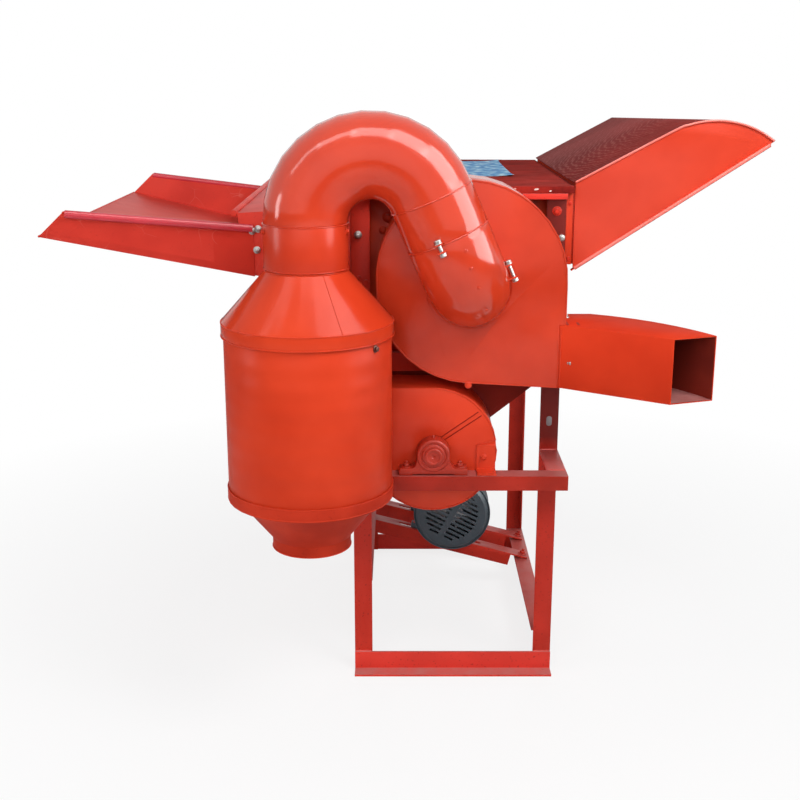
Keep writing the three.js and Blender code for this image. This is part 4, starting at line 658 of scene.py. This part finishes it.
# glossy on the tight bend, which draws a bright line along each edge
roll_enamel = sprayed_enamel("glossy_roll_enamel", "c62c3a", "b42431", 0.2, level=0.6)
make("tray_rolled_edges", rolls, roll_enamel)
make("tray_outer_hem", [swept([(-845.6, -88, 1007.4), (-845.6, 798, 1007.4)], 2.4, 12)], tray_enamel)
THROAT_FRONT = -20.3
bolts = []
for x, z in ((-425.7, 1009.5), (-413.2, 1013.7), (-416.7, 970.2)):
    bolts += hex_bolt((x, THROAT_FRONT, z), front, 9, washer=15, stud=3)
make("tray_bolts", bolts, zinc_plate, width=0.3)

# Straw hood: two flanged side panels and a top sheet, hemmed over the panels' upper edges and
# screwed to the frame on the right. Straw has rubbed curved lines 14 mm apart into the top.
dress(body_enamel, 0.8, "straw_hood_side_front", "straw_hood_side_rear")


def rubbed_lines(tree, place):
    """Wavy curves 14 mm apart round the hood's crest, fainter towards its outer end."""
    off = add(tree, "ShaderNodeVectorMath", {0: place, 1: spot(568, 232, 1180)}, operation="SUBTRACT")
    flat = add(tree, "ShaderNodeMapping", {"Vector": off.outputs[0], "Scale": (1.13, 1, 0)})
    far = add(tree, "ShaderNodeVectorMath", {0: flat.outputs[0]}, operation="LENGTH")
    shaky = add(tree, "ShaderNodeTexNoise", {"Vector": place, "Scale": 1000 / 30, "Detail": 2.0})
    path = add(tree, "ShaderNodeMath", {0: shaky.outputs["Fac"], 1: 0.03, 2: far.outputs["Value"]},
               operation="MULTIPLY_ADD")
    turn = add(tree, "ShaderNodeMath", {0: path.outputs[0], 1: 2 * math.pi / 0.014}, operation="MULTIPLY")
    wave = add(tree, "ShaderNodeMath", {0: turn.outputs[0]}, operation="SINE")
    line = add(tree, "ShaderNodeMapRange",
               {"Value": wave.outputs[0], "From Min": 0.2, "From Max": 0.95, "To Max": 0.42})
    lengthwise = add(tree, "ShaderNodeSeparateXYZ", {0: off.outputs[0]}).outputs["X"]
    left_part = add(tree, "ShaderNodeMapRange",
                    {"Value": lengthwise, "From Min": -0.33, "From Max": 0.05, "To Min": 1.0,
                     "To Max": 0.25})
    return add(tree, "ShaderNodeMath", {0: line.outputs[0], 1: left_part.outputs[0]},
               operation="MULTIPLY").outputs[0]


# matt and brown-red, with the rubbed lines paler
hood_top_enamel = sprayed_enamel("rubbed_hood_enamel", "781d18", "641713", 0.6, level=0.03, peel=1.2,
                                 specks=0.3)
lay_over(hood_top_enamel, "a05852", rubbed_lines)
dress(hood_top_enamel, 0.5, "straw_hood_top")

hood_line = [(241.1, 1107.1), (432.1, 1207.8), (466.6, 1222), (503.2, 1229.4), (540.6, 1229.7),
             (577.3, 1222.9), (612.1, 1209.3), (642, 1190.5)]


def smooth_line(corners, y, steps=6):
    """A line through corner points, rounded as sheet is when it is rolled."""
    points = []
    for i in range(len(corners) - 1):
        before, a = Vector(corners[max(i - 1, 0)]), Vector(corners[i])
        b, after = Vector(corners[i + 1]), Vector(corners[min(i + 2, len(corners) - 1)])
        for k in range(steps):
            t = k / steps
            point = 0.5 * ((2 * a) + (b - before) * t + (2 * before - 5 * a + 4 * b - after) * t * t
                           + (3 * a - before - 3 * b + after) * t ** 3)
            points.append((point.x, y, point.y))
    return points + [(corners[-1][0], y, corners[-1][1])]


hems = [swept(smooth_line(hood_line, -1.6), 2.4, 12),
        swept([(243, -8.5, 930), (632, -8.5, 1182)], 4.0, 16)]
# the folds are painted pale pink as a painted highlight along them, and are glossy
hem_highlight_enamel = sprayed_enamel("pink_hem_painted_highlight", "e87a6e", "db6456", 0.2, level=0.6)
make("hood_hems", hems, hem_highlight_enamel)
make("hood_flange_bolts", hex_bolt((231, -0.2, 1064), front, 7) + hex_bolt((231, -0.2, 950), front, 7),
     frame_enamel, width=0.3)

# Suction fan housing: a scroll of sheet between two side plates, whose edges are folded over
# and welded, so a raised lip runs round the front plate. The plates sway a little, which
# bends what their glossy coat mirrors.
fan_enamel = sprayed_enamel("glossy_fan_enamel", "c83b20", "b53118", 0.14, level=0.3, sway=1.6)
dress(fan_enamel, 0.8, "suction_fan_housing")


def outline_of(node, y, centre, least):
    """Corners of a machine part on an upright plane, further than least from a centre."""
    found = {}
    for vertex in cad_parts[node].data.vertices:
        place = (vertex.co - frame_front) * 1000
        x, z = place.x - centre[0], place.z - centre[1]
        if abs(place.y - y) < 0.5 and math.hypot(x, z) > least:
            found[round(math.atan2(z, x), 3)] = (place.x, y, place.z)
    return [found[angle] for angle in sorted(found)]


FAN_CENTRE = (18, 916)
FAN_FRONT = -140
rim = outline_of("suction_fan_housing", FAN_FRONT, FAN_CENTRE, 150)


def lip(points, centre, inset, width, thick):
    """A flat strip that follows an outline on its inner side and stands out in front."""
    verts = []
    for x, y, z in points:
        reach = math.hypot(x - centre[0], z - centre[1])
        for drop, depth in ((inset + width, 0), (inset + width, -thick), (inset, -thick), (inset, 0)):
            k = (reach - drop) / reach
            verts.append((centre[0] + (x - centre[0]) * k, y + depth, centre[1] + (z - centre[1]) * k))
    return verts, skin(len(points), 4, closed=True)


make("fan_folded_lip", [lip(rim, FAN_CENTRE, 0.6, 3.0, 0.9)], fan_enamel, width=0.5)
make("fan_bolt", hex_bolt((FAN_CENTRE[0], FAN_FRONT - 0.2, 713), front, 10, washer=15), body_enamel,
     width=0.3)

# Inlet ring of the fan: a rolled strip that the suction duct's end slips over. Four short arc
# welds hold it to the front plate, sprayed over with the housing.
INLET_RADIUS = 88
tacks = []
for bearing in (20, 110, 200, 290):
    ends = []
    for angle in (math.radians(bearing - 5), math.radians(bearing + 5)):
        ends.append((FAN_CENTRE[0] + INLET_RADIUS * math.cos(angle), FAN_FRONT - 1,
                     FAN_CENTRE[1] + INLET_RADIUS * math.sin(angle)))
    tacks.append(weld_bead(*ends, 1.8, bearing))
make("fan_inlet_tacks", tacks, fan_enamel)

# Discharge elbow: four sheets welded to a square duct that turns to the front, bolted to the fan's mouth
# through a folded flange. Its coat is satin outside, and a dark, dusty sheet just inside its walls is
# painted shade in the hollow.
elbow_enamel = sprayed_enamel("satin_elbow_enamel", "cc3a1f", "bd321a", 0.5, level=0.02, sway=0.4)
dress(elbow_enamel, 0.8, "discharge_elbow")
up = (0, 0, 1)
SEAM_X, SEAM_Y, SEAM_Z = 202.8, -140.2, 836.3
seams = [swept([(SEAM_X, SEAM_Y, 710.5), (SEAM_X, SEAM_Y, 831.5)], 1.6, 10),
         swept([(SEAM_X, -136, SEAM_Z), (SEAM_X, -28, SEAM_Z)], 1.6, 10)]
make("elbow_flange_seam", seams, fan_enamel)
make("elbow_bolts", hex_bolt((223, SEAM_Y, 760), front, 13, washer=20, stud=3)
     + hex_bolt((221, -60, 836.2), up, 10, washer=17, stud=3), zinc_plate,
     width=0.3)
# a dark sheet inside the elbow: painted shade of the hollow, with dust on its floor
SHADE_FLOOR, SHADE_ROOF = 708.5, 833.5
# x and y of the duct's right side, from its mouth back to the fan, and of its left side's ends
right_side = [(488.2, -236.7), (470.6, -204.6), (451.5, -174.4), (431.0, -146.3), (409.2, -120.3),
              (385.9, -96.5), (361.4, -74.8), (335.4, -55.2), (308.1, -37.7), (279.8, -22.6)]
left_start, left_end = Vector((402.2, -265.2)), Vector((207.5, -138.6))
shade_sheet = []
for i, (x, y) in enumerate(right_side):
    left = left_start.lerp(left_end, i / (len(right_side) - 1))
    right = Vector((x, y)).lerp(left, 0.006)
    shade_sheet += [(left.x, left.y, SHADE_FLOOR), (right.x, right.y, SHADE_FLOOR),
               (right.x, right.y, SHADE_ROOF), (left.x, left.y, SHADE_ROOF)]
shade_and_dust_enamel = sprayed_enamel("dust_and_shade_lining_enamel", "8a2c20", "6c2018", 0.6, level=0.05, specks=0.3,
                               dust=0.8)
make("elbow_inner_painted_shade", [(shade_sheet, skin(len(right_side), 4))], shade_and_dust_enamel)
# two thin dark strips on the elbow's top stand for its slots: painted shade of the openings
SLOT_UNDER, SLOT_TOP, SLOT_WIDTH = 836.25, 836.6, 5
slot_shades = []
for x, y0, y1 in ((214, -138, -104), (236, -138, -112)):
    slot_shades.append(prism([(x, SLOT_TOP), (x + SLOT_WIDTH, SLOT_TOP), (x + SLOT_WIDTH, SLOT_UNDER),
                        (x, SLOT_UNDER)], y0, y1))
make("elbow_top_slot_shades", slot_shades, shade_dark_enamel)

# Suction duct: bends pressed in two halves from sheet, welded together in rings and sprayed
# to a high gloss, which draws bright bands along them. The upper bend slips over the lower
# elbow, and two pairs of lugs with bolts draw them tight.
duct_enamel = sprayed_enamel("glossy_duct_enamel", "cc3e22", "c0361c", 0.07, level=0.45, peel=0.5,
                             sway=0.2)
dress(duct_enamel, 0.3, "suction_duct_bend", "suction_duct_elbow")
DUCT_RADIUS = 81
DUCT_Y = -237.3
LEAN = math.radians(23.5)
leg_foot = Vector((-20.68, DUCT_Y, 1004.95))
leg_up = Vector((-math.sin(LEAN), 0, math.cos(LEAN)))
leg_side = Vector((math.cos(LEAN), 0, math.sin(LEAN)))


def ring_bead(centre, axis, radius, bead, steps=96, ripple=0.0):
    """A bead laid in a ring round an axis."""
    side, other = square_to(axis)[1:]
    return swept(circle(Vector(centre), side, other, radius, steps), bead, 10, closed=True, ripple=ripple)


seams = [ring_bead(leg_foot + leg_up * 24.5, leg_up, DUCT_RADIUS + 0.3, 1.3),
         ring_bead(leg_foot + leg_up * 104, leg_up, DUCT_RADIUS - 0.4, 1.5, 144, 0.5)]
make("duct_ring_seams", seams, duct_enamel)


def plate(centre, across, along, out, width, height, thick):
    """A small square plate standing on its edge, from its middle and three directions."""
    verts = []
    for a in (-width / 2, width / 2):
        for b in (-height / 2, height / 2):
            for c in (-thick / 2, thick / 2):
                verts.append(centre + across * a + out * b + along * c)
    return verts, [(0, 1, 3, 2), (4, 6, 7, 5), (0, 4, 5, 1), (2, 3, 7, 6), (0, 2, 6, 4), (1, 5, 7, 3)]


def lug_clamp(base, along, across, out, spread):
    """Two welded lugs and the bolt that draws them together: lug forms and bolt forms."""
    lugs = [plate(base + along * s * spread / 2 + out * 6, across, along, out, 17, 18, 3) for s in (-1, 1)]
    line = base + out * 8
    bolt = [turned([(3.6, -spread / 2 - 9), (3.6, spread / 2 + 9)], line, along, 20)]
    bolt += hex_bolt(line + along * (spread / 2 + 1.6), along, 12, washer=15)
    bolt += hex_bolt(line - along * (spread / 2 + 1.6), -along, 12, washer=15)
    return lugs, bolt


# the first clamp sits on the leg's front, 21.6 mm above its foot and a little to the left
SIDE_ONE = -18
front_one = Vector((0, -1, 0)) * math.sqrt(DUCT_RADIUS ** 2 - SIDE_ONE ** 2)
out_one = (leg_side * SIDE_ONE + front_one).normalized()
lugs_one, bolt_one = lug_clamp(leg_foot + leg_up * 21.6 + leg_side * SIDE_ONE + front_one, leg_up,
                               out_one.cross(leg_up), out_one, 15)
# the second sits on the elbow's right side, 91 mm below the foot
side_two = leg_foot - leg_up * 91 + leg_side * 78 + Vector((0, 37.3, 0))
lugs_two, bolt_two = lug_clamp(side_two, leg_up, Vector((0, 1, 0)), leg_side, 26)
make("duct_clamp_lugs", lugs_one + lugs_two, duct_enamel, width=0.6)
make("duct_clamp_bolts", bolt_one + bolt_two, zinc_plate, width=0.4)

# Duct rivets: four blind rivets down the elbow's front hold its seam. Their low domes were
# sprayed over with the duct.
BEND_RADIUS = 92.3
BEND_START = -4.7
rivets = []
for along, side in ((-2, 22), (-36, 18), (-78, 17), (-130, 14)):
    ring = BEND_RADIUS + math.sqrt(DUCT_RADIUS ** 2 - side ** 2)
    fall = min(along - BEND_START, 0)
    ahead = math.sqrt(ring ** 2 - fall ** 2)
    place = leg_foot + leg_up * along + leg_side * side
    place.y = DUCT_Y + BEND_RADIUS - ahead
    out = Vector((0, -ahead, 0)) + leg_up * fall
    rivets.append(turned([(3.0, -0.5), (3.0, 0.3), (2.2, 1.0), (0.9, 1.3)], place, out, 20))
make("duct_rivets", rivets, duct_enamel)

# Collar: a strip of sheet drawn round the duct's foot and the cyclone's neck, its upper and
# lower edges rolled, with a painted screw at each side. Its coat is glossy.
CYCLONE_X, CYCLONE_Y = -298, DUCT_Y
collar_enamel = sprayed_enamel("sprayed_collar_enamel", "c73a1f", "b63018", 0.2, level=0.2, peel=1.6,
                               sway=0.3)
dress(collar_enamel, 0.3, "duct_collar")
hems = [ring_bead((CYCLONE_X, CYCLONE_Y, z), up, DUCT_RADIUS, 1.1) for z in (969.5, 1053)]
make("collar_hems", hems, collar_enamel)
screws = []
for angle in (200, 345):
    out = Vector((math.cos(math.radians(angle)), math.sin(math.radians(angle)), 0))
    screws += hex_bolt(Vector((CYCLONE_X, CYCLONE_Y, 1040)) + out * 80.6, out, 8, washer=13)
make("collar_screws", screws, collar_enamel, width=0.3)

# Cyclone: a rolled drum of sheet that the lid and the lower cone grip by their skirts. The
# rolls have left faint bands round the drum, and the lid's cone closes in one lapped seam. The
# lid's coat is glossy, the drum's half glossy, and the lower cone's lean and nearly matt.
cone_enamel = sprayed_enamel("glossy_cone_enamel", "d04022", "c3371b", 0.12, level=0.12, peel=0.8,
                             sway=0.3)
drum_enamel = sprayed_enamel("rolled_drum_enamel", "cc3c1f", "bf3317", 0.32, level=0.1, sway=0.3,
                             rolls=0.9)
under_enamel = sprayed_enamel("lean_cone_enamel", "c83c26", "a82d1b", 0.4, level=0.03, specks=0.2)
dress(cone_enamel, 0.6, "cyclone_lid")
dress(under_enamel, 0.6, "cyclone_cone")
dress(drum_enamel, 0.3, "cyclone_body")
hems = [ring_bead((CYCLONE_X, CYCLONE_Y, z), up, radius, bead)
        for z, radius, bead in ((842.5, 165.6, 1.4), (868, 165.2, 1.4), (539, 163.9, 0.7), (517, 163.6, 0.8),
                                (965.5, 79.4, 1.3), (408.5, 78.6, 1.2))]
make("cyclone_hems", hems, drum_enamel)
seam_bearing = math.radians(-63)
seam_out = Vector((math.cos(seam_bearing), math.sin(seam_bearing), 0))
cone_seam = swept([Vector((CYCLONE_X, CYCLONE_Y, 964)) + seam_out * 80.6,
                   Vector((CYCLONE_X, CYCLONE_Y, 870)) + seam_out * 164.4], 0.8, 10)
make("cyclone_cone_seam", [cone_seam], cone_enamel)
# blackened steel, dull brown with age
oxide_steel = bare_metal("dark_oxide_steel", "6a4a44", 0.4, 3, 0.0001)
bolt_out = Vector((131.2, -92.7, 0)).normalized()
skirt_side = Vector((CYCLONE_X, CYCLONE_Y, 832)) + bolt_out * 161.6
make("cyclone_skirt_bolt", hex_bolt(skirt_side, bolt_out, 9, washer=14), oxide_steel,
     width=0.3)

# Grain blower: a small welded scroll with a lip round its front plate, held by an angle foot on the rail. A
# strip welded across the front stiffens the plate, and two dark wires along its edges are painted shade.
dress(body_enamel, 0.8, "blower_housing")
BLOWER_CENTRE = (-52.5, 572.3)
BLOWER_FRONT = -136
rim = outline_of("blower_housing", BLOWER_FRONT, BLOWER_CENTRE, 60)
# a wire lies along the round part of the rim, from its crest to under the outlet
round_part = [p for p in rim if p[0] > BLOWER_CENTRE[0] - 95]
crest = max(round_part, key=lambda p: p[2])
wired = [p for p in round_part if p[0] > crest[0] - 1 or p[2] < BLOWER_CENTRE[1]]
make("blower_front_rim", [swept(wired, 1.6, 10)], body_enamel)
# dark wires along the strip's two edges: painted shade
strip_edge_shades = [swept([(x0, BLOWER_FRONT - 0.4, z0), (x1, BLOWER_FRONT - 0.4, z1)], 1.1, 10)
          for x0, z0, x1, z1 in ((-36, 600.5, 40, 654.5), (-30, 594, 47, 647))]
make("blower_strip_edge_shades", strip_edge_shades, shade_dark_enamel)
make("blower_foot_bolt", hex_bolt((52, -141, 560), front, 9, washer=14), body_enamel, width=0.3)

# Pillow blocks: cast housings sprayed in place, each with a pressed seal, a steel set collar on
# the shaft, a grease nipple and two bolts through the foot. The lean coat is brownish, and the
# casting's coarse skin shows through it.
block_enamel = sprayed_enamel("sprayed_casting_enamel", "b22f1d", "942616", 0.34, level=0.35, peel=5.0,
                              specks=0.25)
BLOCK_FOOT, BLOCK_FOOT_TOP = 530.3, 544.3
HUB_RADIUS = 34
foot_half = [(0, 533), (40, 533), (45, BLOCK_FOOT), (70, BLOCK_FOOT), (70, 541.5), (67, BLOCK_FOOT_TOP),
             (43, BLOCK_FOOT_TOP), (37, 549), (HUB_RADIUS, 558), (HUB_RADIUS - 1, 572)]
for name, node, y, out in (("pillow_block_front", "blower_bearing_front", -177, -1),
                           ("pillow_block_rear", "blower_bearing_rear", 704.7, 1)):
    axis = (0, out, 0)
    face_centre = (BLOWER_CENTRE[0], y, BLOWER_CENTRE[1])
    outline = [(BLOWER_CENTRE[0] + x, z) for x, z in foot_half]
    outline += [(BLOWER_CENTRE[0] - x, z) for x, z in reversed(foot_half[1:])]
    ends = sorted((y - out * 3, y - out * 35))
    hub = [(30, -38), (HUB_RADIUS, -35.5), (HUB_RADIUS, -2.5), (31.5, 0), (27, 0), (26.2, -1.6), (24, -1.6),
           (23, 1.2), (20, 1.8), (13.4, 1.8)]
    casting = make(name, [prism(outline, *ends), turned(hub, face_centre, axis, 56)], block_enamel,
                   width=1.2)
    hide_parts(node)
    collar = turned([(18, 1.8), (18, 5.8), (17, 6.8), (12.8, 6.8), (12.2, 5.2), (4, 5.2), (2.5, 3.6)],
                    face_centre, axis, 40)
    middle_y = y - out * 19
    nipple = turned([(3.2, 0), (3.2, 2.5), (2.2, 4), (2.6, 5.0), (1.4, 6.5)],
                    (BLOWER_CENTRE[0], middle_y, BLOWER_CENTRE[1] + HUB_RADIUS - 1), up, 16)
    make(name + "_collar", [collar, nipple], block_enamel, width=0.3)
    bolts = []
    for x in (BLOWER_CENTRE[0] - 55, BLOWER_CENTRE[0] + 55):
        bolts += hex_bolt((x, middle_y, BLOCK_FOOT_TOP), up, 13, washer=22, stud=5)
    make(name + "_bolts", bolts, block_enamel, width=0.4)

# Motor: a finned grey iron casting with a pressed fan cover held by four screws, and a
# terminal box with a flat screwed lid and a gland. All but the zinc plated screws have
# blue-grey two-part machine paint, satin, with the sand grain of the mould showing through it.
motor_coat, tree = blank_material("blue_grey_machine_paint")
place = add(tree, "ShaderNodeTexCoord").outputs["Object"]
clouds = add(tree, "ShaderNodeTexNoise", {"Vector": place, "Scale": 1000 / 45, "Detail": 4.0})
colour = add(tree, "ShaderNodeMix",
             {"Factor": clouds.outputs["Fac"], 6: linear("3f4b53"), 7: linear("333e46")}, data_type="RGBA")
# sand grains of the mould 2.5 mm apart
grain = add(tree, "ShaderNodeTexNoise", {"Vector": place, "Scale": 1000 / 2.5, "Detail": 2.0})
bump = add(tree, "ShaderNodeBump", {"Height": grain.outputs["Fac"], "Strength": 0.35, "Distance": 0.0004})
shine = add(tree, "ShaderNodeMapRange", {"Value": clouds.outputs["Fac"], "To Min": 0.36, "To Max": 0.52})
paint = add(tree, "ShaderNodeBsdfPrincipled",
            {"Base Color": colour.outputs[2], "Roughness": shine.outputs[0], "IOR": 1.5,
             "Normal": bump.outputs[0]})
add(tree, "ShaderNodeOutputMaterial", {"Surface": paint.outputs[0]})
dress(motor_coat, 0.8, "motor_fan_cover", "motor_terminal_box", "motor_body")
COVER_RADIUS = 95.9
COVER_FRONT, COVER_REAR = 350, 431
back = (0, 1, 0)
make("motor_cover_rolls", [ring_bead((MOTOR_X, COVER_FRONT + 9, MOTOR_Z), back, COVER_RADIUS - 0.3, 1.6),
                           ring_bead((MOTOR_X, COVER_REAR, MOTOR_Z), back, COVER_RADIUS, 1.8)],
     motor_coat)
screws = []
for angle in (45, 135, 225, 315):
    turn = math.radians(angle)
    out = Vector(on_motor(math.cos(turn), 0, math.sin(turn))) - Vector((MOTOR_X, 0, MOTOR_Z))
    screws += hex_bolt(Vector((MOTOR_X, COVER_REAR - 9, MOTOR_Z)) + out * COVER_RADIUS, out, 8, washer=12)
for along in (-37, 37):
    for y in (498, 572):
        screws += hex_bolt(on_motor(along, y, 140.6), rail_up, 7)
make("motor_screws", screws, zinc_plate, width=0.3)
gland_side = Vector(on_motor(1, 0, 0)) - Vector((MOTOR_X, 0, MOTOR_Z))
gland = turned([(13, -1), (13, 6), (11, 7), (11, 16), (8, 19)], on_motor(45, 535, 112), gland_side, 24)
make("motor_cable_gland", [gland], motor_coat, width=0.4)

# Running gear: bright turned shafts, dull cast iron wheels and pulleys, and the drum's flange bearings, with
# four bolts on the rear one.
shaft_steel = bare_metal("turned_steel", "b5b7b9", 0.28, 1, 0.00004)
cast_iron = bare_metal("cast_iron_skin", "5b5d60", 0.55, 4, 0.0004)
dress(shaft_steel, 0.4, "drum_shaft", "blower_shaft", "motor_shaft", "lid_hinge")
dress(cast_iron, 0.6, "threshing_drum", "suction_impeller", "blower_impeller", "drum_bearing_front",
      "drum_bearing_rear", "drum_pulley", "blower_pulley", "motor_pulley")
FLANGE_BACK, BOLT_REACH = 684.2, 42
bolts = []
for x in (FAN_CENTRE[0] - BOLT_REACH, FAN_CENTRE[0] + BOLT_REACH):
    for z in (FAN_CENTRE[1] - BOLT_REACH, FAN_CENTRE[1] + BOLT_REACH):
        bolts += hex_bolt((x, FLANGE_BACK, z), back, 15, washer=24)
make("drum_bearing_bolts", bolts, zinc_plate, width=0.4)

# V-belts: rubber with a woven cotton cover, dull and a little grey with dust. Each runs as a
# loop between two pulleys.
belt_cover, tree = blank_material("belt_cotton_cover")
place = add(tree, "ShaderNodeTexCoord").outputs["Object"]
dust = add(tree, "ShaderNodeTexNoise", {"Vector": place, "Scale": 1000 / 25, "Detail": 3.0})
colour = add(tree, "ShaderNodeMix",
             {"Factor": dust.outputs["Fac"], 6: linear("17181a"), 7: linear("2b2b2b")}, data_type="RGBA")
# threads are 1 mm apart, drawn 6 mm apart so that they show
weave = add(tree, "ShaderNodeTexWave", {"Vector": place, "Scale": 1000 / 6 / 6.28, "Distortion": 1.0})
bump = add(tree, "ShaderNodeBump", {"Height": weave.outputs["Fac"], "Strength": 0.3, "Distance": 0.0003})
cover = add(tree, "ShaderNodeBsdfPrincipled",
            {"Base Color": colour.outputs[2], "Roughness": 0.82, "IOR": 1.5, "Normal": bump.outputs[0]})
add(tree, "ShaderNodeOutputMaterial", {"Surface": cover.outputs[0]})
dress(belt_cover, 0.0, "main_belt", "blower_belt")

bpy.context.scene.view_settings.view_transform = "Standard"
